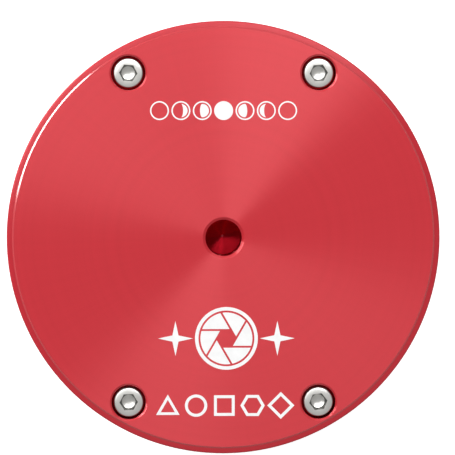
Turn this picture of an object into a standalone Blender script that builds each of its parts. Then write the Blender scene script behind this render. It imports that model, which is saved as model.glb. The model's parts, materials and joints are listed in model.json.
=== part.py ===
"""A planetary astronomy camera: a round red-anodised body that stands on the dust cap of its
lens-side opening, with the rear cover upwards. Metres, +Z up, origin at the middle of the base.

The optical axis is the Z axis. From the bottom up: dust cap, T2 extension ring, black front flange
with the window, housing with the sensor board and main board, and the rear cover.
"""

import math

import bmesh
import bpy
from mathutils import Matrix, Vector

# ---------------------------------------------------------------- driving dimensions
BODY_R = 0.0310
BODY_LENGTH = 0.0360  # front face of the flange to the rear face
BACK_FOCUS = 0.0125  # front face of the flange to the image plane
GAP = 0.0001  # between pieces that touch
THREAD_R = 0.0210  # M42 x 0.75 female thread, taken as a plain bore
THREAD_FIT = 0.0001  # radial clearance of the male thread in it

CAP_WALL = 0.0018
CAP_R = 0.0270
CAP_HEIGHT = 0.0066
CAP_FIT = 0.00015
RING_LENGTH = 0.0050
RING_R = 0.0253  # slides into a 2 inch holder
SPIGOT_LENGTH = 0.0038
SPIGOT_BORE_R = 0.0190

SHOULDER_HEIGHT = 0.0046  # how far the flange's neck stands out of the housing
FRONT_WALL = 0.0025
FLANGE_PLATE = 0.0028
FLANGE_PLATE_R = 0.0288
CAVITY_R = 0.0290
COVER_THICKNESS = 0.0045
EDGE = 0.0006  # turned edge of the body's front
RIM = 0.0010  # width of the step turned round the rear cover
RIM_STEP = 0.00022
RIM_DROP = 0.00022
RIM_CORNER = 0.0003
HAIRLINE = 0.00015  # chamfer each side of a joint between two pieces
OVERCUT = 0.001  # how far a cutter runs past what it cuts
LIP = 0.0003  # small chamfer on a turned lip

# ---------------------------------------------------------------- levels along the optical axis
Z_RING = CAP_WALL + GAP
Z_RING_SEAT = Z_RING + RING_LENGTH
Z_FLANGE = Z_RING_SEAT + GAP
Z_REAR = Z_FLANGE + BODY_LENGTH
Z_SHOULDER = Z_FLANGE + SHOULDER_HEIGHT
Z_FRONT_INNER = Z_SHOULDER + FRONT_WALL
Z_PLATE = Z_FRONT_INNER + GAP
Z_PLATE_TOP = Z_PLATE + FLANGE_PLATE
Z_COVER = Z_REAR - COVER_THICKNESS
Z_RIM = Z_COVER - GAP
Z_IMAGE = Z_FLANGE + BACK_FOCUS

# The window stack in the floor of the M42 well.
WELL_DEPTH = 0.0066
Z_WELL = Z_FLANGE + WELL_DEPTH
WINDOW_R = 0.0105
WINDOW_THICKNESS = 0.0011
WINDOW_SEAT_R = 0.0107
APERTURE_R = 0.0093
Z_WINDOW_SEAT = Z_PLATE_TOP - 0.0005
ORING_THICKNESS = 0.00076
ORING_INSET = 0.0005  # from the window's edge to the middle of the O-ring's section
RETAINER_INSET = 0.0002  # from the aperture to the retainer's bore
SPANNER_SLOT = (0.0120, 0.0005, 0.0004)  # half length, half width, depth
Z_WINDOW = Z_WINDOW_SEAT - ORING_THICKNESS - 2 * GAP - WINDOW_THICKNESS

# Rear cover and its screws.
SCREW_CIRCLE_R = 0.0272
SCREW_ANGLES = (60, 120, 240, 300)
COUNTERBORE_R = 0.0025
COUNTERBORE_DEPTH = 0.0028
COUNTERBORE_EDGE = 0.00025

M25_HEAD_R = 0.00225  # M2.5 cap screws: cover, and a low head on the main board
M25_HEAD = 0.0025
M25_LOW_HEAD = 0.0015
M25_R = 0.00125
M25_KEY_R = 0.00115
M2_HEAD_R = 0.0019
M2_HEAD = 0.0020
M2_R = 0.0010
M2_KEY_R = 0.00086
M16_HEAD_R = 0.0015
M16_HEAD = 0.0016
M16_R = 0.0008
REAR_SCREW_LENGTH = 0.0070
FLANGE_SCREW_LENGTH = 0.0042
SENSOR_SCREW_LENGTH = 0.0072
BOARD_SCREW_LENGTH = 0.0060
Z_TAPPED = 0.0330  # bottom of the cover screws' tapped holes

FLANGE_HOLE_R = 0.00085
SPACER_HOLE_R = 0.00105
SPACER_HOLE_DEPTH = 0.0021
STANDOFF_HOLE_R = 0.0013
STANDOFF_HOLE_DEPTH = 0.0024
BOSS_GAP = 0.0002  # air between the housing's bosses and the front plate
POCKET_HALF = 0.02
OUTSIDE_X = 0.04  # where cutters for the sockets end, outside the body
RING_WEB = 0.0009
CAP_EDGE = 0.0005
CAP_FOOT_R = 0.0225
CAP_RECESS = 0.0003
SCREW_CLEARANCE_R = 0.00135
TRIPOD_HOLE_R = 0.0026  # 1/4-20 UNC, at the crests of its thread
TRIPOD_MOUTH_R = 0.0032
TRIPOD_DEPTH = 0.0050
DRILL_POINT = 0.00156
PLATEAU_R = 0.0236
PLATEAU = 0.0010
CENTRE_BOSS_R = 0.0060
Z_CENTRE_BOSS = 0.0360
SCREW_BOSS_R = 0.0032

# The flat pocket in the side wall and the two sockets behind it.
POCKET_X = 0.0274
POCKET_Z = (0.0192, 0.0352)
POCKET_INNER_X = 0.0252
SOCKET_TOP = 0.0336
SOCKET_FIT = 0.00025
USB_SIZE = (0.0160, 0.0122, 0.0129)
USB_Y = -0.0075
USB_FACE_X = 0.0278
GUIDE_SIZE = (0.0155, 0.0132, 0.0120)
GUIDE_Y = 0.0070
GUIDE_FACE_X = 0.0277

# Boards and what holds them.
BOARD = 0.0016
SENSOR_HALF = (0.0063, 0.0050)
RECESS_HALF = (0.0047, 0.0031)
DIE_HALF = (0.0043, 0.0027)
COVER_GLASS_HALF = (0.0057, 0.0044)
COVER_GLASS = 0.0005
PACKAGE_LIP = 0.00015  # how far the package stands in front of the image plane
RECESS_DEPTH = 0.00045  # behind the image plane
GASKET_R = (0.0097, 0.0117)
SPACER_R = 0.0022
SPACER_BORE_R = 0.0011
STUD_R = 0.0012
STUD_LENGTH = 0.0021
STANDOFF_BORE_DEPTH = 0.0048
NOTCH_GAP = 0.0005  # from a boss of the housing to the main board
Z_SENSOR_BOARD = 0.0213
SENSOR_BOARD_X = (-0.0174, 0.0086)
SENSOR_BOARD_Y = 0.0150
SPACER_POINTS = ((-0.0148, -0.0126), (-0.0148, 0.0126), (0.0062, -0.0126), (0.0062, 0.0126))
Z_MAIN_BOARD = SOCKET_TOP + GAP
MAIN_BOARD_R = 0.0266
MAIN_BOARD_X = 0.0249
STANDOFF_POINTS = ((-0.0210, -0.0110), (-0.0210, 0.0110), (0.0040, -0.0215), (0.0040, 0.0215))
STANDOFF_HEX_R = 0.00289

# Parts on the main board: the middle and the size across X and Y, and the height.
PROCESSOR = ((-0.0145, 0.0), (0.0140, 0.0140), 0.0013)
MEMORY = ((0.0, -0.0140), (0.0130, 0.0090), 0.0011)
USB_CONTROLLER = ((0.0020, 0.0130), (0.0100, 0.0100), 0.0010)
CRYSTAL = ((0.0116, -0.00175), (0.0032, 0.0025), 0.0009)
INDUCTOR_SIZE = (0.0050, 0.0050)
INDUCTOR_HEIGHT = 0.0030
INDUCTOR_POINTS = ((-0.0020, -0.0085), (-0.0020, 0.0085))
CAPACITOR_R = 0.0025
CAPACITOR_HEIGHT = 0.0052
CAPACITOR_POINTS = ((-0.0060, -0.0180), (-0.0060, 0.0180))
PAD_MARGIN = 0.0005

# The stacking connector between the boards.
STACK_X = (-0.0146, -0.0094)
STACK_HALF = 0.0090
STACK_WALL = (0.0012, 0.0010)
STACK_SLOT = 0.0025
STACK_PLAY = 0.0003  # round the plug's tongue in the slot
Z_STACK_SPLIT = 0.0270

# Inside the two sockets.
MOUTH_DEPTH = 0.0125
USB_WALL = 0.0004
USB_INSERT_INSET = 0.0003
USB_MOUTH_FLOOR = 0.0012
USB_MOUTH_HALF = 0.00445
USB_MOUTH_HEIGHT = 0.0080
USB_UPPER_HALF = 0.0031
USB_UPPER_HEIGHT = 0.0026
USB_UPPER_OVERLAP = 0.0005
USB_TONGUE_HALF = 0.0028
USB_TONGUE = (0.0025, 0.0057)  # its two faces above the mouth's floor
USB_TONGUE_INSET = 0.0020
GUIDE_ROOF = 0.0014
GUIDE_MOUTH = (0.0050, 0.0070)  # half width, height
GUIDE_STEPS = ((0.0031, 0.0013), (0.0018, 0.0024))  # half width, depth below the mouth
GUIDE_OVERLAP = 0.0005
CONTACT_BLOCK = (0.0012, 0.0044, 0.0020)  # length, half width, height
WIRES = 6
WIRE_PITCH = 0.00127
WIRE_HALF = 0.0002
WIRE_X = (0.0005, 0.0080)
WIRE_DROP = (0.0018, 0.0013)
FLANGE_SCREW_R = 0.0270
FLANGE_SCREW_ANGLES = (45, 135, 225, 315)

TURNED_STEPS = 64
SMALL_STEPS = 20
HEX = 6

# ---------------------------------------------------------------- scene and materials
for old in list(bpy.data.objects):
    bpy.data.objects.remove(old, do_unlink=True)

camera_parts = bpy.data.collections.new("astronomy_camera")
cutters = bpy.data.collections.new("cutters")
bpy.context.scene.collection.children.link(camera_parts)
bpy.context.scene.collection.children.link(cutters)
cutters.hide_render = True


def material(name, color, roughness, metallic=0.0, alpha=1.0):
    made = bpy.data.materials.new(name)
    made.use_nodes = True
    shader = made.node_tree.nodes["Principled BSDF"]
    shader.inputs["Base Color"].default_value = (*color, 1.0)
    shader.inputs["Roughness"].default_value = roughness
    shader.inputs["Metallic"].default_value = metallic
    shader.inputs["Alpha"].default_value = alpha
    made.diffuse_color = (*color, alpha)
    return made


RED = material("red_anodised", (0.66, 0.055, 0.07), 0.32, 0.8)
BLACK_ANODISED = material("black_anodised", (0.018, 0.018, 0.02), 0.4, 0.5)
STEEL = material("stainless_steel", (0.72, 0.72, 0.70), 0.25, 1.0)
BRASS = material("brass", (0.78, 0.6, 0.3), 0.3, 1.0)
CAP_PLASTIC = material("cap_plastic", (0.022, 0.022, 0.024), 0.55)
GLASS = material("coated_glass", (0.75, 0.9, 0.85), 0.02, 0.0, 0.35)
RUBBER = material("seal_rubber", (0.02, 0.02, 0.02), 0.8)
BOARD_RESIN = material("circuit_board", (0.015, 0.09, 0.045), 0.45)
CERAMIC = material("chip_package", (0.03, 0.03, 0.033), 0.5)
SILICON = material("sensor_die", (0.12, 0.16, 0.2), 0.15, 0.6)
THERMAL_PAD = material("thermal_pad", (0.55, 0.6, 0.68), 0.8)
USB_PLASTIC = material("usb_plastic", (0.02, 0.12, 0.5), 0.45)
JACK_PLASTIC = material("jack_plastic", (0.02, 0.02, 0.022), 0.45)
GOLD = material("gold_contacts", (0.85, 0.62, 0.25), 0.25, 1.0)
CAN = material("nickel_can", (0.7, 0.7, 0.68), 0.3, 1.0)


# ---------------------------------------------------------------- building blocks
def add_object(name, mesh, finish=None, place=(0.0, 0.0, 0.0)):
    """A node of the camera, or a cutter where no finish is given."""
    made = bpy.data.objects.new(name, mesh)
    made.location = place
    if finish is None:
        cutters.objects.link(made)
        made.hide_render = True
        made.display_type = "WIRE"
        return made
    camera_parts.objects.link(made)
    if not mesh.materials:
        mesh.materials.append(finish)
    return made


def smooth(mesh):
    mesh.shade_smooth()
    mesh.set_sharp_from_angle(angle=math.radians(32))


def turned(name, outline, finish=None, steps=TURNED_STEPS, place=(0.0, 0.0, 0.0), closed=False):
    """A lathe-turned solid: the outline of (radius, height) points runs down its outer side."""
    mesh = bpy.data.meshes.new(name)
    points = [(radius, 0.0, height) for radius, height in outline]
    edges = [(i, i + 1) for i in range(len(points) - 1)]
    if closed:
        edges.append((len(points) - 1, 0))
    mesh.from_pydata(points, edges, [])
    made = add_object(name, mesh, finish, place)
    screw = made.modifiers.new("turn", "SCREW")
    screw.axis = "Z"
    screw.angle = 2 * math.pi
    screw.steps = steps
    screw.render_steps = steps
    screw.use_merge_vertices = True
    screw.merge_threshold = 0.000001
    screw.use_smooth_shade = True
    return made


def rod(name, radius, bottom, top, finish=None, steps=SMALL_STEPS, place=(0.0, 0.0)):
    """A straight round bar or hole along Z. With six steps it is a hexagon."""
    mesh = bpy.data.meshes.new(name)
    shape = bmesh.new()
    bmesh.ops.create_cone(
        shape, cap_ends=True, segments=steps, radius1=radius, radius2=radius, depth=top - bottom
    )
    shape.to_mesh(mesh)
    shape.free()
    return add_object(name, mesh, finish, (*place, (bottom + top) / 2))


def block(name, low, high, finish=None, rounding=0.0):
    """A box between two corners, with its edges rounded off."""
    size = Vector(high) - Vector(low)
    mesh = bpy.data.meshes.new(name)
    shape = bmesh.new()
    bmesh.ops.create_cube(shape, size=1.0, matrix=Matrix.Diagonal((*size, 1.0)))
    shape.to_mesh(mesh)
    shape.free()
    made = add_object(name, mesh, finish, (Vector(low) + Vector(high)) / 2)
    if rounding:
        bevel = made.modifiers.new("edges", "BEVEL")
        bevel.width = rounding
        bevel.segments = 1
    return made


def boolean(body, tool, operation="DIFFERENCE"):
    made = body.modifiers.new(tool.name, "BOOLEAN")
    made.operation = operation
    made.object = tool
    made.solver = "EXACT"
    return body


def around(radius, angles):
    """(x, y) points on a circle about the optical axis."""
    return [
        (radius * math.cos(math.radians(a)), radius * math.sin(math.radians(a))) for a in angles
    ]


def evaluated_mesh(made):
    """The mesh that an object's modifiers give, for copies to share. The object is removed."""
    bpy.context.view_layer.update()
    graph = bpy.context.evaluated_depsgraph_get()
    mesh = bpy.data.meshes.new_from_object(made.evaluated_get(graph))
    tools = [m.object for m in made.modifiers if m.type == "BOOLEAN"]
    for used in (made, *tools):
        bpy.data.objects.remove(used, do_unlink=True)
    return mesh


def cap_screw_mesh(name, head_r, head_height, shank_r, length, key_r, finish, steps):
    """A hexagon-socket screw standing on its shank, with the underside of its head at height 0."""
    bevel = head_r * 0.1
    outline = [
        (0.0, head_height),
        (head_r - bevel, head_height),
        (head_r, head_height - bevel),
        (head_r, 0.0),
        (shank_r, 0.0),
        (shank_r, -length + shank_r * 0.3),
        (shank_r * 0.7, -length),
        (0.0, -length),
    ]
    screw = turned(name + "_blank", outline, finish, steps)
    socket = rod(name + "_socket", key_r, head_height * 0.45, head_height * 1.5, steps=HEX)
    boolean(screw, socket)
    mesh = evaluated_mesh(screw)
    mesh.name = name
    smooth(mesh)
    return mesh


def fasteners(name, mesh, points, height, finish):
    """One object for each fastener of a set, all sharing a mesh."""
    for i, (x, y) in enumerate(points, 1):
        add_object(f"{name}_{i}", mesh, finish, (x, y, height))


# ---------------------------------------------------------------- lens side
def make_dust_cap():
    wall_r = RING_R + CAP_FIT
    outline = [
        (0.0, CAP_WALL),
        (wall_r, CAP_WALL),
        (wall_r, CAP_HEIGHT - LIP),
        (wall_r + LIP, CAP_HEIGHT),
        (CAP_R - LIP, CAP_HEIGHT),
        (CAP_R, CAP_HEIGHT - LIP),
        (CAP_R, CAP_EDGE),
        (CAP_R - CAP_EDGE, 0.0),
        (CAP_FOOT_R, 0.0),
        (CAP_FOOT_R - CAP_EDGE, CAP_RECESS),
        (0.0, CAP_RECESS),
    ]
    turned("dust_cap", outline, CAP_PLASTIC)


def make_t2_ring():
    spigot_r = THREAD_R - THREAD_FIT
    spigot_top = Z_RING_SEAT + SPIGOT_LENGTH
    web = Z_RING_SEAT - RING_WEB
    chamfer = LIP
    outline = [
        (SPIGOT_BORE_R, spigot_top),
        (spigot_r - chamfer, spigot_top),
        (spigot_r, spigot_top - chamfer),
        (spigot_r, Z_RING_SEAT),
        (RING_R - chamfer, Z_RING_SEAT),
        (RING_R, Z_RING_SEAT - chamfer),
        (RING_R, Z_RING + chamfer),
        (RING_R - chamfer, Z_RING),
        (THREAD_R + chamfer, Z_RING),
        (THREAD_R, Z_RING + chamfer),
        (THREAD_R, web),
        (SPIGOT_BORE_R, web),
    ]
    turned("t2_ring", outline, BLACK_ANODISED, closed=True)


def make_front_flange():
    chamfer = LIP
    outline = [
        (APERTURE_R, Z_PLATE_TOP),
        (FLANGE_PLATE_R, Z_PLATE_TOP),
        (FLANGE_PLATE_R, Z_PLATE),
        (RING_R, Z_PLATE),
        (RING_R, Z_FLANGE + chamfer),
        (RING_R - chamfer, Z_FLANGE),
        (THREAD_R + chamfer, Z_FLANGE),
        (THREAD_R, Z_FLANGE + chamfer),
        (THREAD_R, Z_WELL),
        (WINDOW_SEAT_R, Z_WELL),
        (WINDOW_SEAT_R, Z_WINDOW_SEAT),
        (APERTURE_R, Z_WINDOW_SEAT),
    ]
    flange = turned("front_flange", outline, BLACK_ANODISED, closed=True)
    flange_points = around(FLANGE_SCREW_R, FLANGE_SCREW_ANGLES)
    holes = [(p, FLANGE_HOLE_R, Z_PLATE - OVERCUT) for p in flange_points]
    holes += [(p, SPACER_HOLE_R, Z_PLATE_TOP - SPACER_HOLE_DEPTH) for p in SPACER_POINTS]
    holes += [(p, STANDOFF_HOLE_R, Z_PLATE_TOP - STANDOFF_HOLE_DEPTH) for p in STANDOFF_POINTS]
    for i, (point, radius, bottom) in enumerate(holes):
        hole = rod(f"flange_hole_{i}", radius, bottom, Z_PLATE_TOP + OVERCUT, steps=12, place=point)
        boolean(flange, hole)


def make_window():
    rod("window_glass", WINDOW_R, Z_WINDOW, Z_WINDOW + WINDOW_THICKNESS, GLASS, steps=48)
    section_r = ORING_THICKNESS / 2
    centre_r = WINDOW_R - ORING_INSET
    centre_z = Z_WINDOW + WINDOW_THICKNESS + GAP + section_r
    sides = 6
    outline = []
    for i in range(sides):
        angle = math.pi / 2 - 2 * math.pi * i / sides
        outline.append(
            (centre_r + section_r * math.cos(angle), centre_z + section_r * math.sin(angle))
        )
    turned("window_oring", outline, RUBBER, steps=32, closed=True)
    low, high = Z_WELL + GAP / 2, Z_WINDOW - GAP / 2
    inner, outer = APERTURE_R + RETAINER_INSET, WINDOW_SEAT_R - GAP
    half_length, half_width, depth = SPANNER_SLOT
    ring = [(inner, high), (outer, high), (outer, low), (inner + depth, low), (inner, low + LIP)]
    retainer = turned("window_retainer", ring, BLACK_ANODISED, steps=48, closed=True)
    slot_low = (-half_length, -half_width, low - OVERCUT)
    boolean(retainer, block("spanner_slot", slot_low, (half_length, half_width, low + depth)))


# ---------------------------------------------------------------- housing and rear cover
def socket_box(face_x, y, size):
    """(lowest, highest) corners of a socket that hangs under the main board and faces +X."""
    low = (face_x - size[0], y - size[1] / 2, SOCKET_TOP - size[2])
    high = (face_x, y + size[1] / 2, SOCKET_TOP)
    return low, high


def make_cavity():
    """The hollow of the housing: round, with a flat behind the sockets and bosses for the screws."""
    cavity = rod("cavity", CAVITY_R, Z_FRONT_INNER, Z_RIM + 2 * OVERCUT, steps=TURNED_STEPS)
    flat = block(
        "socket_wall", (POCKET_INNER_X, -POCKET_HALF, Z_PLATE_TOP + BOSS_GAP),
        (OUTSIDE_X, POCKET_HALF, Z_RIM + BODY_R),
    )
    boolean(cavity, flat)
    for i, point in enumerate(around(SCREW_CIRCLE_R, SCREW_ANGLES)):
        boss = rod(
            f"boss_{i}", SCREW_BOSS_R, Z_PLATE_TOP + BOSS_GAP, Z_RIM + BODY_R, steps=24, place=point
        )
        boolean(cavity, boss)
    return cavity


def make_housing():
    outline = [
        (0.0, Z_RIM),
        (BODY_R - HAIRLINE, Z_RIM),
        (BODY_R, Z_RIM - HAIRLINE),
        (BODY_R, Z_SHOULDER + EDGE),
        (BODY_R - EDGE * 0.3, Z_SHOULDER + EDGE * 0.3),
        (BODY_R - EDGE, Z_SHOULDER),
        (0.0, Z_SHOULDER),
    ]
    housing = turned("housing", outline, RED)
    boolean(housing, make_cavity())
    mouth_r = RING_R + GAP
    mouth_low, mouth_high = Z_SHOULDER - 2 * OVERCUT, Z_FRONT_INNER + OVERCUT
    boolean(housing, rod("mouth", mouth_r, mouth_low, mouth_high, steps=TURNED_STEPS))
    pocket_low = (POCKET_X, -POCKET_HALF, POCKET_Z[0])
    boolean(housing, block("pocket", pocket_low, (OUTSIDE_X, POCKET_HALF, POCKET_Z[1])))
    for name, face_x, y, size in (
        ("usb_window", USB_FACE_X, USB_Y, USB_SIZE),
        ("guide_window", GUIDE_FACE_X, GUIDE_Y, GUIDE_SIZE),
    ):
        low, high = socket_box(face_x, y, size)
        low = (POCKET_INNER_X - OVERCUT, low[1] - SOCKET_FIT, low[2] - SOCKET_FIT)
        high = (OUTSIDE_X, high[1] + SOCKET_FIT, high[2] + SOCKET_FIT)
        boolean(housing, block(name, low, high))
    for i, point in enumerate(around(SCREW_CIRCLE_R, SCREW_ANGLES)):
        tapped = rod(f"tapped_{i}", SCREW_CLEARANCE_R, Z_TAPPED, Z_RIM + OVERCUT, steps=16, place=point)
        boolean(housing, tapped)
    for i, point in enumerate(around(FLANGE_SCREW_R, FLANGE_SCREW_ANGLES)):
        tapped = rod(
            f"front_tapped_{i}", FLANGE_HOLE_R, Z_SHOULDER + EDGE, Z_FRONT_INNER + OVERCUT, steps=12,
            place=point,
        )
        boolean(housing, tapped)


def make_rear_cover():
    z_hole_bottom = Z_REAR - TRIPOD_DEPTH
    outline = [
        (0.0, z_hole_bottom - DRILL_POINT),
        (TRIPOD_HOLE_R, z_hole_bottom),
        (TRIPOD_HOLE_R, Z_REAR - (TRIPOD_MOUTH_R - TRIPOD_HOLE_R)),
        (TRIPOD_MOUTH_R, Z_REAR),
        (BODY_R - RIM, Z_REAR),
        (BODY_R - RIM + RIM_STEP, Z_REAR - RIM_STEP),
        (BODY_R - RIM_CORNER, Z_REAR - RIM_STEP - RIM_DROP),
        (BODY_R, Z_REAR - RIM_STEP - RIM_DROP - RIM_CORNER),
        (BODY_R, Z_COVER + HAIRLINE),
        (BODY_R - HAIRLINE, Z_COVER),
        (PLATEAU_R, Z_COVER),
        (PLATEAU_R, Z_COVER - PLATEAU),
        (CENTRE_BOSS_R, Z_COVER - PLATEAU),
        (CENTRE_BOSS_R, Z_CENTRE_BOSS),
        (0.0, Z_CENTRE_BOSS),
    ]
    cover = turned("rear_cover", outline, RED)
    seat = Z_REAR - COUNTERBORE_DEPTH
    bore = [
        (0.0, Z_REAR + COUNTERBORE_R),
        (2 * COUNTERBORE_R + COUNTERBORE_EDGE, Z_REAR + COUNTERBORE_R),
        (COUNTERBORE_R, Z_REAR - COUNTERBORE_EDGE),
        (COUNTERBORE_R, seat),
        (SCREW_CLEARANCE_R, seat),
        (SCREW_CLEARANCE_R, Z_COVER - PLATEAU - OVERCUT),
        (0.0, Z_COVER - PLATEAU - OVERCUT),
    ]
    for i, (x, y) in enumerate(around(SCREW_CIRCLE_R, SCREW_ANGLES)):
        boolean(cover, turned(f"counterbore_{i}", bore, steps=SMALL_STEPS, place=(x, y, 0.0)))


def make_screws():
    rear = cap_screw_mesh(
        "rear_screw", M25_HEAD_R, M25_HEAD, M25_R, REAR_SCREW_LENGTH, M25_KEY_R, STEEL, 16
    )
    points = around(SCREW_CIRCLE_R, SCREW_ANGLES)
    fasteners("rear_screw", rear, points, Z_REAR - COUNTERBORE_DEPTH + GAP / 2, STEEL)
    front = cap_screw_mesh(
        "flange_screw", M16_HEAD_R, M16_HEAD, M16_R, FLANGE_SCREW_LENGTH, M2_KEY_R, STEEL, 12
    )
    points = around(FLANGE_SCREW_R, FLANGE_SCREW_ANGLES)
    fasteners("flange_screw", front, points, Z_PLATE_TOP + GAP / 2, STEEL)
    sensor = cap_screw_mesh(
        "sensor_board_screw", M2_HEAD_R, M2_HEAD, M2_R, SENSOR_SCREW_LENGTH, M2_KEY_R, STEEL, 12
    )
    z_head = Z_SENSOR_BOARD + BOARD + GAP / 2
    fasteners("sensor_board_screw", sensor, SPACER_POINTS, z_head, STEEL)
    main = cap_screw_mesh(
        "main_board_screw", M25_HEAD_R, M25_LOW_HEAD, M25_R, BOARD_SCREW_LENGTH, M25_KEY_R, STEEL, 12
    )
    z_head = Z_MAIN_BOARD + BOARD + GAP / 2
    fasteners("main_board_screw", main, STANDOFF_POINTS, z_head, STEEL)


# ---------------------------------------------------------------- sensor
def centred(name, half, low, high, finish=None):
    """A block round the optical axis, from its half sizes across X and Y."""
    return block(name, (-half[0], -half[1], low), (half[0], half[1], high), finish)


def make_sensor():
    package_front = Z_IMAGE - PACKAGE_LIP
    package = centred("image_sensor", SENSOR_HALF, package_front, Z_SENSOR_BOARD - GAP, CERAMIC)
    recess_top = Z_IMAGE + RECESS_DEPTH
    boolean(package, centred("die_recess", RECESS_HALF, package_front - OVERCUT, recess_top))
    centred("sensor_die", DIE_HALF, Z_IMAGE, recess_top - GAP / 2, SILICON)
    glass_top = package_front - GAP / 2
    centred("sensor_cover_glass", COVER_GLASS_HALF, glass_top - COVER_GLASS, glass_top, GLASS)
    low, high = Z_PLATE_TOP + GAP, Z_SENSOR_BOARD - GAP
    inner, outer = GASKET_R
    foam = [(inner, high), (outer, high), (outer, low), (inner, low)]
    turned("sensor_gasket", foam, RUBBER, steps=36, closed=True)


def make_sensor_board():
    low = (SENSOR_BOARD_X[0], -SENSOR_BOARD_Y, Z_SENSOR_BOARD)
    high = (SENSOR_BOARD_X[1], SENSOR_BOARD_Y, Z_SENSOR_BOARD + BOARD)
    board = block("sensor_board", low, high, BOARD_RESIN)
    for i, point in enumerate(SPACER_POINTS):
        hole_low, hole_high = low[2] - OVERCUT, high[2] + OVERCUT
        hole = rod(f"sensor_board_hole_{i}", SPACER_BORE_R, hole_low, hole_high, steps=12, place=point)
        boolean(board, hole)
    z_low, z_high = Z_PLATE_TOP + GAP / 2, Z_SENSOR_BOARD - GAP / 2
    outer, inner = SPACER_R, SPACER_BORE_R
    tube = [(inner, z_high), (outer, z_high), (outer, z_low), (inner, z_low)]
    for i, (x, y) in enumerate(SPACER_POINTS, 1):
        turned(f"sensor_spacer_{i}", tube, BRASS, steps=16, place=(x, y, 0.0), closed=True)


# ---------------------------------------------------------------- main board
def make_main_board():
    top = Z_MAIN_BOARD + BOARD
    board = rod("main_board", MAIN_BOARD_R, Z_MAIN_BOARD, top, BOARD_RESIN, steps=60)
    below, above = Z_MAIN_BOARD - OVERCUT, top + OVERCUT
    boolean(board, block("board_edge", (MAIN_BOARD_X, -BODY_R, below), (OUTSIDE_X, BODY_R, above)))
    holes = [(p, SCREW_BOSS_R + NOTCH_GAP) for p in around(SCREW_CIRCLE_R, SCREW_ANGLES)]
    holes += [(p, SCREW_CLEARANCE_R) for p in STANDOFF_POINTS]
    for i, (point, radius) in enumerate(holes):
        boolean(board, rod(f"board_hole_{i}", radius, below, above, steps=16, place=point))


def make_standoffs():
    """Hexagon pillars: a stud into the flange below, a tapped hole for the board's screw above."""
    low, high = Z_PLATE_TOP + GAP, Z_MAIN_BOARD - GAP
    pillar = rod("standoff_blank", STANDOFF_HEX_R, low, high, BRASS, steps=HEX)
    stud = rod("standoff_stud", STUD_R, low - STUD_LENGTH, low + OVERCUT, steps=12)
    boolean(pillar, stud, "UNION")
    bore_low = high - STANDOFF_BORE_DEPTH
    boolean(pillar, rod("standoff_bore", SCREW_CLEARANCE_R, bore_low, high + OVERCUT, steps=12))
    middle = (low + high) / 2
    mesh = evaluated_mesh(pillar)
    mesh.name = "board_standoff"
    fasteners("board_standoff", mesh, STANDOFF_POINTS, middle, BRASS)


def on_board(name, middle, size, low, high, finish, margin=0.0, rounding=0.0):
    """A block on the main board, from its middle and its size across X and Y."""
    half = Vector(size) / 2 - Vector((margin, margin))
    corner_low, corner_high = Vector(middle) - half, Vector(middle) + half
    return block(name, (*corner_low, low), (*corner_high, high), finish, rounding)


def make_chips():
    rear = Z_MAIN_BOARD + BOARD + GAP / 2
    front = Z_MAIN_BOARD - GAP / 2
    for name, (middle, size, height), finish, rounding in (
        ("processor", PROCESSOR, CERAMIC, 0.0),
        ("memory_chip", MEMORY, CERAMIC, 0.0),
        ("usb_controller", USB_CONTROLLER, CERAMIC, 0.0),
        ("clock_crystal", CRYSTAL, CAN, LIP),
    ):
        on_board(name, middle, size, rear, rear + height, finish, rounding=rounding)
    middle, size, height = PROCESSOR
    pad_low, pad_high = rear + height + GAP / 2, Z_COVER - PLATEAU - GAP / 2
    on_board("thermal_pad", middle, size, pad_low, pad_high, THERMAL_PAD, margin=PAD_MARGIN)
    for i, middle in enumerate(INDUCTOR_POINTS, 1):
        low = front - INDUCTOR_HEIGHT
        on_board(f"power_inductor_{i}", middle, INDUCTOR_SIZE, low, front, CERAMIC, rounding=2 * LIP)
    for i, point in enumerate(CAPACITOR_POINTS, 1):
        rod(f"bulk_capacitor_{i}", CAPACITOR_R, front - CAPACITOR_HEIGHT, front, CAN, place=point)


def stack_block(name, inset, low, high, finish=None):
    """A block of the stacking connector, this far in from its outside across X and Y."""
    return block(
        name, (STACK_X[0] + inset[0], -STACK_HALF + inset[1], low),
        (STACK_X[1] - inset[0], STACK_HALF - inset[1], high), finish,
    )


def make_board_connectors():
    """The plug and socket that stack the main board on the sensor board."""
    outside = (0.0, 0.0)
    around_tongue = [wall + STACK_PLAY for wall in STACK_WALL]
    floor, roof = Z_SENSOR_BOARD + BOARD + GAP / 2, Z_MAIN_BOARD - GAP / 2
    slot_floor, beyond = Z_STACK_SPLIT - STACK_SLOT, Z_STACK_SPLIT + OVERCUT
    socket = stack_block("stack_socket", outside, floor, Z_STACK_SPLIT, JACK_PLASTIC)
    boolean(socket, stack_block("stack_slot", STACK_WALL, slot_floor, beyond))
    plug = stack_block("stack_plug", outside, Z_STACK_SPLIT + GAP, roof, JACK_PLASTIC)
    tongue = stack_block("stack_tongue", around_tongue, slot_floor + STACK_PLAY, beyond)
    boolean(plug, tongue, "UNION")


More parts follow.
